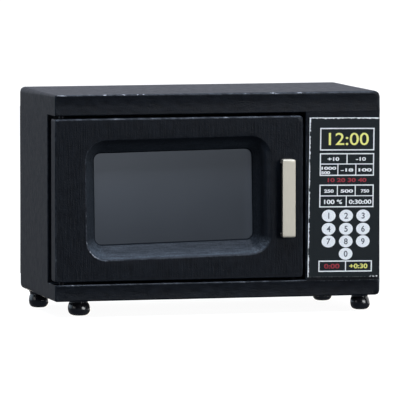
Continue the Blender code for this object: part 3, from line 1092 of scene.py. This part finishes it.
# %% Print the numbers in the frames
CLOCK_BOLDER = 0.01 * MM
SMALL_BOLDER = 0.02 * MM
CLOCK_FIGURES = ("lamp", "12:00", 6.08, 20.70, 1.85, 6.20)
SMALL_FIGURES = [  # colour, figures, then in mm: middle from the lower left, height and width
    ("white", "+10", 3.74, 17.70, 0.55, 1.80),
    ("white", "-10", 8.00, 17.70, 0.55, 1.57),
    ("white", "1000", 3.05, 16.32, 0.46, 2.30),
    ("white", "500", 2.55, 15.66, 0.44, 1.40),
    ("white", "-18", 5.88, 16.05, 0.50, 1.95),
    ("white", "100", 8.68, 16.05, 0.50, 2.05),
    ("red", "10 20 30 40", 5.90, 14.54, 0.60, 6.00),
    ("white", "250", 3.11, 12.90, 0.50, 1.50),
    ("white", "500", 5.88, 12.90, 0.50, 1.95),
    ("white", "750", 8.71, 12.90, 0.50, 1.30),
    ("white", "100 %", 3.78, 11.28, 0.66, 2.80),
    ("white", "0:30:00", 7.98, 11.28, 0.66, 3.50),
    ("red", "0:00", 3.71, 1.63, 0.72, 2.40),
    ("yellow", "+0:30", 7.85, 1.63, 0.72, 2.80),
]

for colour, figures, *measures in (CLOCK_FIGURES, *SMALL_FIGURES):
    bolder = CLOCK_BOLDER if colour == "lamp" else SMALL_BOLDER
    ink_digits(colour, figures, *(measure * MM for measure in measures), bolder=bolder)
print("figures printed:", 1 + len(SMALL_FIGURES))

# %% Join each ink into one piece and turn the card
def join(shapes, name):
    bpy.ops.object.select_all(action="DESELECT")
    for shape in shapes:
        shape.select_set(True)
    bpy.context.view_layer.objects.active = shapes[0]
    bpy.ops.object.join()
    return name_it(bpy.context.object, name)


inks = {colour: join(shapes, INK_NAMES[colour]) for colour, shapes in ink_shapes.items()}

for sheet in (control_card, *inks.values()):
    open_up(sheet)
    pick_all()
    bpy.ops.transform.rotate(value=-CARD_TILT, orient_axis="Y", center_override=card_middle)
    close_up()
    report(sheet)


# %% [markdown]
# ## Finishes
#
# No finish here is one flat colour. Each is a small tree of nodes that feeds Blender's Principled
# shader. Images could give the same detail, but a pattern that is worked out from a point's place
# needs no image, has no seams and stays sharp from close by. The trees are built in code, so a
# few helpers come first.

# %% Helpers for materials
NOISE_RANGE = (0.3, 0.7)  # which a noise pattern seldom leaves
WIDE_RANGE = (0.25, 0.75)
FULL_RANGE = (0.2, 0.8)


def new_finish(name):
    material = bpy.data.materials.new(name)
    material.use_nodes = True
    return material, material.node_tree, material.node_tree.nodes["Principled BSDF"]


def node(tree, kind, inputs=None, **settings):
    """Adds a node, sets it, and fills or links its inputs."""
    made = tree.nodes.new(kind)
    for setting, value in settings.items():
        setattr(made, setting, value)
    for name, value in (inputs or {}).items():
        if isinstance(value, bpy.types.NodeSocket):
            tree.links.new(value, made.inputs[name])
        else:
            made.inputs[name].default_value = value
    return made


def feed(shader, name, pattern):
    """Links a pattern to one of the shader's inputs."""
    shader.id_data.links.new(pattern, shader.inputs[name])


def fed_by(shader, name):
    """The pattern that one of the shader's inputs is linked to."""
    return shader.inputs[name].links[0].from_socket


def dress(obj, material):
    obj.data.materials.clear()
    obj.data.materials.append(material)


# %% Helpers for patterns
def place_on_toy(tree):
    return node(tree, "ShaderNodeTexCoord").outputs["Object"]


def kept_number(tree, name):
    """The number that note() kept for each point."""
    return node(tree, "ShaderNodeAttribute", attribute_name=name).outputs["Fac"]


def noise(tree, size, detail=2.0, stretch=(1, 1, 1), roughness=0.5):
    """A pattern whose grains measure about size, longer where stretch is more than one."""
    scale = [1 / (size * share) for share in stretch]
    scaled = node(tree, "ShaderNodeMapping", {"Vector": place_on_toy(tree), "Scale": scale})
    inputs = {
        "Vector": scaled.outputs["Vector"], "Scale": 1.0, "Detail": detail, "Roughness": roughness
    }
    return node(tree, "ShaderNodeTexNoise", inputs).outputs["Fac"]


def ramp(tree, value, start, end, low=0.0, high=1.0, smooth_step=True):
    """Maps a value to a range, and holds it at the ends."""
    inputs = {"Value": value, "From Min": start, "From Max": end, "To Min": low, "To Max": high}
    kind = "SMOOTHSTEP" if smooth_step else "LINEAR"
    return node(tree, "ShaderNodeMapRange", inputs, interpolation_type=kind).outputs["Result"]


def vary(tree, pattern, low=0.0, high=1.0):
    """Lets a value drift from low to high as a noise pattern does."""
    return ramp(tree, pattern, *NOISE_RANGE, low, high)


def maths(tree, operation, result, *others):
    """Adds, multiplies or compares values, one after the other."""
    for other in others:
        joined = node(tree, "ShaderNodeMath", {0: result, 1: other}, operation=operation)
        result = joined.outputs["Value"]
    return result


def blend(tree, share, first, second):
    """Mixes two colours."""
    inputs = {0: share, 6: first, 7: second}
    return node(tree, "ShaderNodeMix", inputs, data_type="RGBA").outputs[2]


def darker(colour, share):
    """A share of a colour's brightness."""
    return (*(share * channel for channel in colour[:3]), 1)


def bump(tree, height, distance):
    inputs = {"Height": height, "Distance": distance, "Strength": 1.0}
    return node(tree, "ShaderNodeBump", inputs).outputs["Normal"]


# %% [markdown]
# ### Black paint
#
# The boards are brushed with black paint that dried to a weak sheen. The brush has left strokes
# along each board. On the worn edges the paint is rubbed grey, and in a few spots it is knocked
# off. The rubbed grey is also painted highlight, where the rounded edges would catch the lamps.
# A mask could be painted for the wear. Here the paint reads how far each point is from an edge
# and how worn that edge is, and noise breaks the line up, as wear does.

# %% Find where the paint is knocked off
KNOCKS = [  # middle, and length, depth and height, in mm
    ((-17.4, -11.3, 33.1), (0.6, 0.5, 0.2)),
    ((-14.5, -11.3, 33.1), (0.45, 0.5, 0.2)),
    ((-12.4, -11.3, 33.1), (0.2, 0.5, 0.22)),
    ((-11.5, -11.3, 33.1), (0.35, 0.5, 0.22)),
    ((8.4, -11.3, 33.05), (1.2, 0.5, 0.2)),
    ((12.5, -11.3, 33.0), (0.9, 0.5, 0.2)),
    ((-24.0, -11.3, 33.05), (1.5, 0.4, 0.15)),
    ((-24.9, -7.6, 5.25), (0.7, 1.2, 0.6)),
]
KNOCK_RAGGED = 0.5  # of a spot's half size, in and out
KNOCK_RIM = (1.15, 0.85)
FAR_OFF = 9.0  # further than any spot reaches


def knocked_off(tree, ragged):
    """One where the paint is knocked off, and nothing elsewhere."""
    place = place_on_toy(tree)
    nearest = FAR_OFF
    for middle, size in KNOCKS:
        inputs = {0: place, 1: Vector(middle) * MM}
        offset = node(tree, "ShaderNodeVectorMath", inputs, operation="SUBTRACT")
        inputs = {0: offset.outputs[0], 1: Vector([2 / (side * MM) for side in size])}
        scaled = node(tree, "ShaderNodeVectorMath", inputs, operation="MULTIPLY")
        away = node(tree, "ShaderNodeVectorMath", {0: scaled.outputs[0]}, operation="LENGTH")
        nearest = maths(tree, "MINIMUM", away.outputs["Value"], nearest)
    frayed = maths(tree, "ADD", nearest, vary(tree, ragged, -KNOCK_RAGGED, KNOCK_RAGGED))
    return ramp(tree, frayed, *KNOCK_RIM)


# %% Mix the black paint
PAINT_DARK = (0.0024, 0.0032, 0.0050, 1)
PAINT_LIGHT = (0.0066, 0.0088, 0.0128, 1)
PAINT_RUBBED_AND_LIT = (0.075, 0.085, 0.100, 1)
PAINT_CHIP = (0.24, 0.25, 0.27, 1)
PAINT_SHEEN = 0.09
PAINT_ROUGHNESS = (0.33, 0.40)
PAINT_RELIEF = 0.022 * MM
STROKE_WIDTH = 0.22 * MM
STROKE_RELIEF = 0.4  # against the grit's
GRIT_SIZE = 0.2 * MM
MOTTLE_SIZE = 1.1 * MM
CRUMB_SIZE = 0.16 * MM
CRUMB_REACH = (-0.06, 0.10)  # in mm, how far crumbs move the border of the wear
WEAR_LENGTH = 0.9 * MM  # of the stretches of an edge that are rubbed or spared
WEAR_LEVEL = (0.38, 0.58)  # of the noise along the edge
SPARED_SHARE = 0.2  # of the rubbing, left where an edge is spared
RUBBED_AND_LIT_GAP = (0.20, 0.02)  # from the edge, in mm: where it starts, and where it is full
CHIPPED_GAP = (0.14, 0.06)
CHIP_LEVEL = (0.66, 0.70)  # of the noise along the edge
CHIP_MORE = 0.06  # on a fully worn edge


def worn_paint(tree, colour):
    """Rubs and chips a colour of paint along its board's worn edges; the rubbed grey is also painted
    highlight.
    """
    gap, wear = kept_number(tree, "edge_gap"), kept_number(tree, "edge_wear_and_highlight")
    crumbs = noise(tree, CRUMB_SIZE, detail=3)
    wander = noise(tree, WEAR_LENGTH, detail=5, roughness=0.6)
    near = maths(tree, "ADD", gap, ramp(tree, crumbs, *WIDE_RANGE, *CRUMB_REACH))
    broken = ramp(tree, wander, *WEAR_LEVEL, SPARED_SHARE, 1.0)
    rubbed = maths(tree, "MULTIPLY", ramp(tree, near, *RUBBED_AND_LIT_GAP), broken, wear)
    # rubbed grey: partly wear, partly painted highlight along the edges
    colour = blend(tree, rubbed, colour, PAINT_RUBBED_AND_LIT)
    often = maths(tree, "MULTIPLY", wear, wear, CHIP_MORE)
    place = ramp(tree, maths(tree, "ADD", wander, often), *CHIP_LEVEL)
    chips = maths(tree, "MULTIPLY", place, wear, ramp(tree, near, *CHIPPED_GAP))
    chips = maths(tree, "MAXIMUM", chips, knocked_off(tree, crumbs))
    return blend(tree, chips, colour, PAINT_CHIP)


def black_paint(name, along):
    """Black paint brushed along one direction, rubbed thin and chipped on the worn edges, with
    painted highlight along them.
    """
    material, tree, shader = new_finish(name)
    strokes = noise(tree, STROKE_WIDTH, detail=2, stretch=along)
    mottle = noise(tree, MOTTLE_SIZE, detail=3)
    halves = [ramp(tree, pattern, *FULL_RANGE, 0.0, 0.5) for pattern in (strokes, mottle)]
    colour = blend(tree, maths(tree, "ADD", *halves), PAINT_DARK, PAINT_LIGHT)
    feed(shader, "Base Color", worn_paint(tree, colour))
    feed(shader, "Roughness", vary(tree, mottle, *PAINT_ROUGHNESS))
    shader.inputs["Specular IOR Level"].default_value = PAINT_SHEEN
    grit = noise(tree, GRIT_SIZE, detail=3)
    height = maths(tree, "ADD", vary(tree, strokes, 0.0, STROKE_RELIEF), grit)
    feed(shader, "Normal", bump(tree, height, PAINT_RELIEF))
    return material, tree, shader


# %% Paint the cabinet
PAINTED = {
    "top_board": top_board,
    "bottom_board": bottom_board,
    "left_side": left_side,
    "right_side": right_side,
    "back_board": back_board,
    "partition": partition,
    "control_front": control_front,
}

cabinet_paint = black_paint("cabinet_paint", along=(8, 3, 3))[0]
for piece in PAINTED.values():
    dress(piece, cabinet_paint)
print("boards painted:", len(PAINTED))

# %% [markdown]
# The slope of the recess was sanded again after painting, along its length, so that pale streaks
# show there. The pale colour is also painted light: it is strongest along the lower side, which
# faces the lamp above, and it lightens the lower left corner. Where the slope meets the window
# the paint is darker and rougher in a thin line.

# %% Paint the door
COVE_RUBBED_AND_LIT = (0.061, 0.074, 0.090, 1)
STREAK_WIDTH = 0.3 * MM
STREAK_STRETCH = (9, 1, 1)
STREAK_LEVEL = (0.32, 0.66)
STREAK_SHARE = (0.45, 1.0)  # of the rubbing, between the streaks and in them
SPECKLE_SIZE = 0.14 * MM
SPECKLE_SHARE = (0.5, 1.5)
SLOPE_FOOT_DARK = (0.007, 0.009, 0.012, 1)
SLOPE_FOOT_RANGE = (0.90, 0.95)  # of the way down the slope


def door_paint():
    material, tree, shader = black_paint("door_paint", along=(1, 2, 12))
    rubbed, depth = kept_number(tree, "cove_wear"), kept_number(tree, "cove_depth")
    streaks = noise(tree, STREAK_WIDTH, detail=4, stretch=STREAK_STRETCH, roughness=0.6)
    speckle = noise(tree, SPECKLE_SIZE, detail=3)
    streaked = ramp(tree, streaks, *STREAK_LEVEL, *STREAK_SHARE)
    share = maths(tree, "MULTIPLY", rubbed, streaked, vary(tree, speckle, *SPECKLE_SHARE))
    # the slope's pale rubbing, partly painted light
    colour = blend(tree, share, fed_by(shader, "Base Color"), COVE_RUBBED_AND_LIT)
    # a thin darker, rougher line at the foot of the slope, where it meets the window
    slope_foot = ramp(tree, depth, *SLOPE_FOOT_RANGE)
    feed(shader, "Base Color", blend(tree, slope_foot, colour, SLOPE_FOOT_DARK))
    feed(shader, "Roughness", maths(tree, "ADD", fed_by(shader, "Roughness"), slope_foot))
    return material


dress(door_board, door_paint())
print("nodes in the door's paint:", len(door_board.data.materials[0].node_tree.nodes))

# %% [markdown]
# ### Smoky plastic
#
# The window is grey and lets no light through. Its colour is painted lightest at its upper left
# and darker towards its lower right: a painted drift of light, which also lifts the shade that
# the top of the recess casts on the pane. Lamps alone would give such a drift only from one side,
# so it is mixed into the plastic's own colour. In a strip along the pane's right edge the colour
# is painted lighter again, to lift the shadow that the steep right side of the recess casts there.

# %% Mix the smoky plastic
PANE_DARK = (0.0365, 0.0415, 0.0485, 1)
PANE_PAINTED_LIGHT = (0.153, 0.166, 0.188, 1)
PANE_LEFTWARDS = 0.31  # shares of the drift
PANE_UPWARDS = 0.69
PANE_DRIFT_POWER = 2.2
PANE_SHEEN = 0.12
PANE_ROUGHNESS = (0.24, 0.34)
PANE_RELIEF = 0.001 * MM
PANE_GRAIN = 0.4 * MM
HAZE_SIZE = 9 * MM
HAZE_SHARE = 0.04
EDGE_LIFT_RANGE = (4.0 * MM, 5.75 * MM)  # along x
EDGE_LIFT_GAIN = 0.8


def even(tree, value, start, end, low=0.0, high=1.0):
    """A ramp that climbs evenly."""
    return ramp(tree, value, start, end, low, high, smooth_step=False)


def smoky_plastic():
    material, tree, shader = new_finish("smoky_plastic")
    parts = node(tree, "ShaderNodeSeparateXYZ", {"Vector": place_on_toy(tree)})
    # painted light: the colour grows lighter towards the upper left, to stand in for lamp light
    leftwards = even(tree, parts.outputs["X"], pane_high.x, pane_low.x, 0.0, PANE_LEFTWARDS)
    upwards = even(tree, parts.outputs["Z"], pane_low.z, pane_high.z, 0.0, PANE_UPWARDS)
    drift = maths(tree, "POWER", maths(tree, "ADD", leftwards, upwards), PANE_DRIFT_POWER)
    haze = noise(tree, HAZE_SIZE, detail=2)
    share = maths(tree, "ADD", drift, even(tree, haze, 0.0, 1.0, -HAZE_SHARE, HAZE_SHARE))
    # painted light: lifts the shadow that the recess's right side casts on the pane's right edge
    nearer_right_edge = maths(tree, "POWER", even(tree, parts.outputs["X"], *EDGE_LIFT_RANGE), 2.0)
    on_front = maths(tree, "LESS_THAN", parts.outputs["Y"], (pane_low.y + pane_high.y) / 2)
    painted_edge_light = maths(tree, "MULTIPLY", nearer_right_edge, on_front, EDGE_LIFT_GAIN)
    inputs = {0: blend(tree, share, PANE_DARK, PANE_PAINTED_LIGHT), "Scale": maths(tree, "ADD", painted_edge_light, 1.0)}
    edge_lifted = node(tree, "ShaderNodeVectorMath", inputs, operation="SCALE")
    feed(shader, "Base Color", edge_lifted.outputs["Vector"])
    feed(shader, "Roughness", even(tree, haze, 0.0, 1.0, *PANE_ROUGHNESS))
    shader.inputs["Specular IOR Level"].default_value = PANE_SHEEN
    feed(shader, "Normal", bump(tree, noise(tree, PANE_GRAIN), PANE_RELIEF))
    return material


dress(window_pane, smoky_plastic())
print("nodes in the pane's plastic:", len(window_pane.data.materials[0].node_tree.nodes))

# %% [markdown]
# ### Metal
#
# The handle is cut from a soft, pale strip that is dull from drawing and handling. Its sides are
# painted darker than its face, as painted shade. A fully metallic shader would mirror the dark
# room below the table, so the handle is only partly metallic. The hinge pins are the frame's own
# solids. They show only as dark wire in the gaps, and get the same drawn metal in black.

# %% Make the metals
METAL_ROUGHNESS = 0.45
METAL_DRIFT = 0.04
METAL_RELIEF = 0.001 * MM
DRAW_WIDTH = 0.05 * MM
DRAWN_UPWARDS = (1, 1, 30)
DULL_SHARE = 0.9
HANDLE_COLOUR = (0.78, 0.715, 0.58, 1)
HANDLE_METALLIC = 0.4
SIDE_SHADE_COLOUR = (0.14, 0.13, 0.11, 1)
SIDE_SHADE_RANGE = (0.93, 0.995)  # from the strip's middle to its side
WIRE_COLOUR = (0.012, 0.012, 0.014, 1)
HINGE_PINS = ("upper_hinge_pin", "lower_hinge_pin")


def metal(name, colour, metallic):
    material, tree, shader = new_finish(name)
    shader.inputs["Metallic"].default_value = metallic
    lines = noise(tree, DRAW_WIDTH, detail=3, stretch=DRAWN_UPWARDS)
    dull = darker(colour, DULL_SHARE)
    feed(shader, "Base Color", blend(tree, vary(tree, lines), dull, colour))
    rough = vary(tree, lines, METAL_ROUGHNESS - METAL_DRIFT, METAL_ROUGHNESS + METAL_DRIFT)
    feed(shader, "Roughness", rough)
    feed(shader, "Normal", bump(tree, lines, METAL_RELIEF))
    return material, tree, shader


handle_metal, tree, shader = metal("handle_metal", HANDLE_COLOUR, HANDLE_METALLIC)
# painted shade: the strip's sides are darkened
shaded_side = ramp(tree, kept_number(tree, "shaded_side"), *SIDE_SHADE_RANGE)
feed(shader, "Base Color", blend(tree, shaded_side, fed_by(shader, "Base Color"), SIDE_SHADE_COLOUR))
dress(door_handle, handle_metal)
hinge_wire = metal("hinge_wire", WIRE_COLOUR, 1.0)[0]
for pin in HINGE_PINS:
    dress(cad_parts[pin], hinge_wire)
print("pins finished:", len(HINGE_PINS))

# %% [markdown]
# ### Glossy black beads
#
# The feet were dipped, so their paint is thicker and much glossier than the brushed boards: each
# one mirrors a small bright lamp. The coat isn't quite even, which a weak bump and a drifting
# roughness give.

# %% Mix the bead gloss
BEAD_DARK = (0.006, 0.006, 0.008, 1)
BEAD_LIGHT = (0.012, 0.012, 0.014, 1)
BEAD_ROUGHNESS = (0.15, 0.22)
BEAD_RELIEF = 0.02 * MM
BEAD_PATCH = 0.8 * MM


def bead_gloss():
    material, tree, shader = new_finish("bead_gloss")
    patches = noise(tree, BEAD_PATCH, detail=2)
    feed(shader, "Base Color", blend(tree, vary(tree, patches), BEAD_DARK, BEAD_LIGHT))
    feed(shader, "Roughness", vary(tree, patches, *BEAD_ROUGHNESS))
    feed(shader, "Normal", bump(tree, patches, BEAD_RELIEF))
    return material


bead = bead_gloss()
for foot in feet:
    dress(foot, bead)
print("feet finished:", len(feet))

# %% [markdown]
# ### Printed card
#
# The card is printed nearly black, and the print stops short of the cut, so that white card shows
# as a ragged line along its top and left and at the lower right. Geometry could carry that line,
# but it is only a tenth of a millimetre wide and frayed. So the material measures how far each
# point is from the card's sides, and noise eats into the white. The card is stuck on turned, so
# the place is turned back before it is measured.

# %% Measure from the card's sides
def card_places(tree):
    """How far a point is from the left, right, lower and upper side of the card."""
    place = place_on_toy(tree)
    inputs = {"Vector": place, "Location": -card_middle}
    centred = node(tree, "ShaderNodeMapping", inputs, vector_type="POINT")
    inputs = {"Vector": centred.outputs["Vector"], "Rotation": (0, -CARD_TILT, 0)}
    square = node(tree, "ShaderNodeMapping", inputs)
    parts = node(tree, "ShaderNodeSeparateXYZ", {"Vector": square.outputs["Vector"]})
    x, z = parts.outputs["X"], parts.outputs["Z"]
    return (
        maths(tree, "ADD", x, card_half_width + CARD_OVERHANG),
        maths(tree, "SUBTRACT", card_half_width, x),
        maths(tree, "ADD", z, card_half_height),
        maths(tree, "SUBTRACT", card_half_height - CARD_TRIM, z),
    )


# %% Print the card's ground
CARD_DARK = (0.0050, 0.0085, 0.0105, 1)
CARD_DRIFT = (0.0070, 0.0115, 0.0140, 1)
CARD_WHITE = (0.84, 0.85, 0.85, 1)
CARD_SHEEN = 0.15
CARD_ROUGHNESS = (0.40, 0.48)
CARD_RELIEF = 0.002 * MM
CARD_GRAIN = 0.1 * MM
CARD_PATCH = 3 * MM
FRAY_SIZE = 0.28 * MM
FRAY_SHARE = (0.5, 1.4)  # of the white line's width
SPARED_SIZE = 1.3 * MM  # of the stretches where the white line nearly ends
SPARED_LEVEL = (0.37, 0.43)
WHITE_WIDTH = (0.02 * MM, 0.15 * MM)
WHITE_SOFTNESS = 0.03 * MM
TOP_WHITE_WIDTH = 0.12 * MM
TOP_STRIP = (0.3 * MM, 0.2 * MM)
CORNER_STRIP = (1.3 * MM, 1.1 * MM)  # from the right side, where the lower rim turns white
CORNER_WIDTH = (0.05 * MM, 0.18 * MM)
CORNER_SOFTNESS = 0.05 * MM
CORNER_SHARE = (0.1, 0.9)
CORNER_LEVEL = (0.4, 0.6)


def printed_card():
    material, tree, shader = new_finish("printed_card")
    from_left, from_right, from_bottom, from_top = card_places(tree)
    fray = noise(tree, FRAY_SIZE, detail=3)
    spared = noise(tree, SPARED_SIZE, detail=2)
    kept = ramp(tree, spared, *SPARED_LEVEL, *WHITE_WIDTH)
    kept = maths(tree, "MAXIMUM", kept, ramp(tree, from_top, *TOP_STRIP, 0.0, TOP_WHITE_WIDTH))
    width = maths(tree, "MULTIPLY", vary(tree, fray, *FRAY_SHARE), kept)
    border = maths(tree, "MINIMUM", from_left, from_top)
    past_width = maths(tree, "SUBTRACT", border, width)
    white = ramp(tree, past_width, WHITE_SOFTNESS, -WHITE_SOFTNESS)
    reach = ramp(tree, from_right, *CORNER_STRIP, *CORNER_WIDTH)
    within = ramp(tree, maths(tree, "SUBTRACT", from_bottom, reach), CORNER_SOFTNESS, 0.0)
    strength = ramp(tree, from_right, *CORNER_STRIP, *CORNER_SHARE)
    lower_rim = maths(tree, "MULTIPLY", within, ramp(tree, fray, *CORNER_LEVEL), strength)
    white = maths(tree, "MAXIMUM", white, lower_rim)
    ground = blend(tree, noise(tree, CARD_PATCH), CARD_DARK, CARD_DRIFT)
    feed(shader, "Base Color", blend(tree, white, ground, CARD_WHITE))
    feed(shader, "Roughness", vary(tree, fray, *CARD_ROUGHNESS))
    shader.inputs["Specular IOR Level"].default_value = CARD_SHEEN
    feed(shader, "Normal", bump(tree, noise(tree, CARD_GRAIN), CARD_RELIEF))
    return material


dress(control_card, printed_card())
print("nodes in the card's print:", len(control_card.data.materials[0].node_tree.nodes))

# %% [markdown]
# Each ink has one colour, a little thinner in patches, where the printer's rollers left less of
# it.

# %% Inks
INK_COLOURS = {
    "white": (0.86, 0.87, 0.87, 1),
    "red": (0.30, 0.020, 0.035, 1),
    "yellow": (0.80, 0.78, 0.20, 1),
    "key": (0.88, 0.90, 0.91, 1),
    "grey": (0.10, 0.11, 0.13, 1),
    "lamp": (0.88, 0.85, 0.24, 1),
}
INK_SHEEN = 0.3
INK_ROUGHNESS = (0.4, 0.5)
INK_RELIEF = 0.001 * MM
INK_PATCH = 0.15 * MM
INK_LEVEL = (0.35, 0.65)
THIN_INK = 0.86


def ink(name, colour):
    material, tree, shader = new_finish(f"ink_{name}")
    patchy = noise(tree, INK_PATCH, detail=3)
    share = ramp(tree, patchy, *INK_LEVEL)
    feed(shader, "Base Color", blend(tree, share, darker(colour, THIN_INK), colour))
    feed(shader, "Roughness", vary(tree, patchy, *INK_ROUGHNESS))
    shader.inputs["Specular IOR Level"].default_value = INK_SHEEN
    feed(shader, "Normal", bump(tree, patchy, INK_RELIEF))
    return material


for colour, sheet in inks.items():
    dress(sheet, ink(colour, INK_COLOURS[colour]))
print("inks:", len(inks))

# %% [markdown]
# ## Say what each piece stands for
#
# The frame's solids are plain. Each new piece takes the place of one of them, which stays hidden,
# and moves with the cabinet or with the door. The inks stand for no solid. They only ride on the
# cabinet.

# %% Tie the pieces to the frame
for name, piece in PAINTED.items():
    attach(piece, "cabinet")
    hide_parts(name)
for name, foot in zip(FOOT_NODES, feet):
    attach(foot, "cabinet")
    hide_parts(name)
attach(control_card, "cabinet")
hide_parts("control_label")
for sheet in inks.values():
    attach(sheet, "cabinet")

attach(door_board, "door")
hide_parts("door_board")
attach(window_pane, "door")
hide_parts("window_pane")
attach(door_handle, "door")
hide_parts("door_handle")

# %% [markdown]
# ## Floor and light
#
# The toy stands in a white void, as on a light table: nothing but its own faint shadow shows
# round it. A lit white floor would cast its light up under the boards. So the floor glows by
# itself, and the toy neither mirrors it nor is lit by it.

# %% Lay the floor
FLOOR_SIZE = 6.0
FLOOR_GREY = (0.12, 0.12, 0.12, 1)
FLOOR_GLOW = 0.95

bpy.ops.object.select_all(action="DESELECT")
bpy.ops.mesh.primitive_plane_add(size=FLOOR_SIZE, location=(0, 0, 0))
floor = name_it(bpy.context.object, "floor")
pale_floor, _, shader = new_finish("pale_floor")
shader.inputs["Base Color"].default_value = FLOOR_GREY
shader.inputs["Roughness"].default_value = 1.0
shader.inputs["Specular IOR Level"].default_value = 0.0
shader.inputs["Emission Color"].default_value = (1, 1, 1, 1)
shader.inputs["Emission Strength"].default_value = FLOOR_GLOW
dress(floor, pale_floor)
floor.visible_glossy = False
floor.visible_diffuse = False
floor.visible_shadow = False
print("floor:", FLOOR_SIZE, "m")

# %% [markdown]
# Black paint shows little colour of its own and mostly mirrors what stands round it. So the lamps
# are wide and soft, and each is placed for one part of the toy: one high above for the top, one
# low at the right for the sloping sides of the recess, weak ones for the front, and three for the
# sides and the back.

# %% Set the lamps
LAMPS = {  # degrees right of the front and above the table, distance and size in m, watts, colour
    "top_light": (0, 78, 1.3, (1.1, 0.9), 36.0, (0.74, 0.82, 0.97)),
    "key_light": (33, 10, 1.7, (0.9, 0.45), 14.5, (0.96, 0.98, 1.0)),
    "front_light": (12, 55, 1.5, (0.9, 0.6), 3.0, (1, 1, 1)),
    "fill_light": (-68, 10, 1.5, (0.8, 0.5), 1.6, (1, 1, 1)),
    "side_light": (115, 20, 1.8, (2.6, 1.8), 18.0, (1, 1, 1)),
    "back_light": (-120, 20, 1.8, (2.0, 1.6), 12.0, (0.66, 0.85, 1.0)),
    "table_bounce": (157, -15, 1.8, (1.2, 0.9), 12.0, (1.0, 0.93, 0.82)),
}


def softbox(name, turn, rise, distance, size, power, colour):
    """A wide lamp that looks at the toy."""
    turn, rise = math.radians(turn), math.radians(rise)
    flat = math.cos(rise)
    towards = Vector((math.sin(turn) * flat, -math.cos(turn) * flat, math.sin(rise)))
    bpy.ops.object.select_all(action="DESELECT")
    bpy.ops.object.light_add(type="AREA", location=aim + distance * towards)
    lamp = bpy.context.object
    lamp.name = lamp.data.name = name
    lamp.data.shape = "RECTANGLE"
    lamp.data.size, lamp.data.size_y = size
    lamp.data.energy = power
    lamp.data.color = colour
    lamp.visible_camera = False
    lamp.rotation_mode = "QUATERNION"
    lamp.rotation_quaternion = (-towards).to_track_quat("-Z", "Y")


for name, settings in LAMPS.items():
    softbox(name, *settings)
print("lamps:", len(LAMPS))

# %% [markdown]
# The room itself is what the glossy beads, the metal and the paint mirror. It is dark in front,
# which keeps the front black, and pale behind the toy, which the left side mirrors at a low
# angle. The table below is a little lighter than the dark room.

# %% Light the room
ROOM_FRONT = (0.012, 0.016, 0.024, 1)
ROOM_BACK = (0.555, 0.578, 0.66, 1)
TABLE_FRONT = (0.12, 0.145, 0.185, 1)
TABLE_BACK = (0.19, 0.20, 0.22, 1)
HORIZON = (-0.12, 0.12)
FRONT_TO_BACK = (-0.2, 0.6)

world = bpy.data.worlds.new("studio")
bpy.context.scene.world = world
world.use_nodes = True
sky = world.node_tree
direction = node(sky, "ShaderNodeTexCoord").outputs["Generated"]
parts = node(sky, "ShaderNodeSeparateXYZ", {"Vector": direction})
above = ramp(sky, parts.outputs["Z"], *HORIZON)
behind = ramp(sky, parts.outputs["Y"], *FRONT_TO_BACK)
room = blend(sky, behind, ROOM_FRONT, ROOM_BACK)
table = blend(sky, behind, TABLE_FRONT, TABLE_BACK)
background = sky.nodes["Background"]
sky.links.new(blend(sky, above, table, room), background.inputs["Color"])
background.inputs["Strength"].default_value = 1.0
bpy.context.scene.view_settings.view_transform = "Standard"
print("view transform:", bpy.context.scene.view_settings.view_transform)
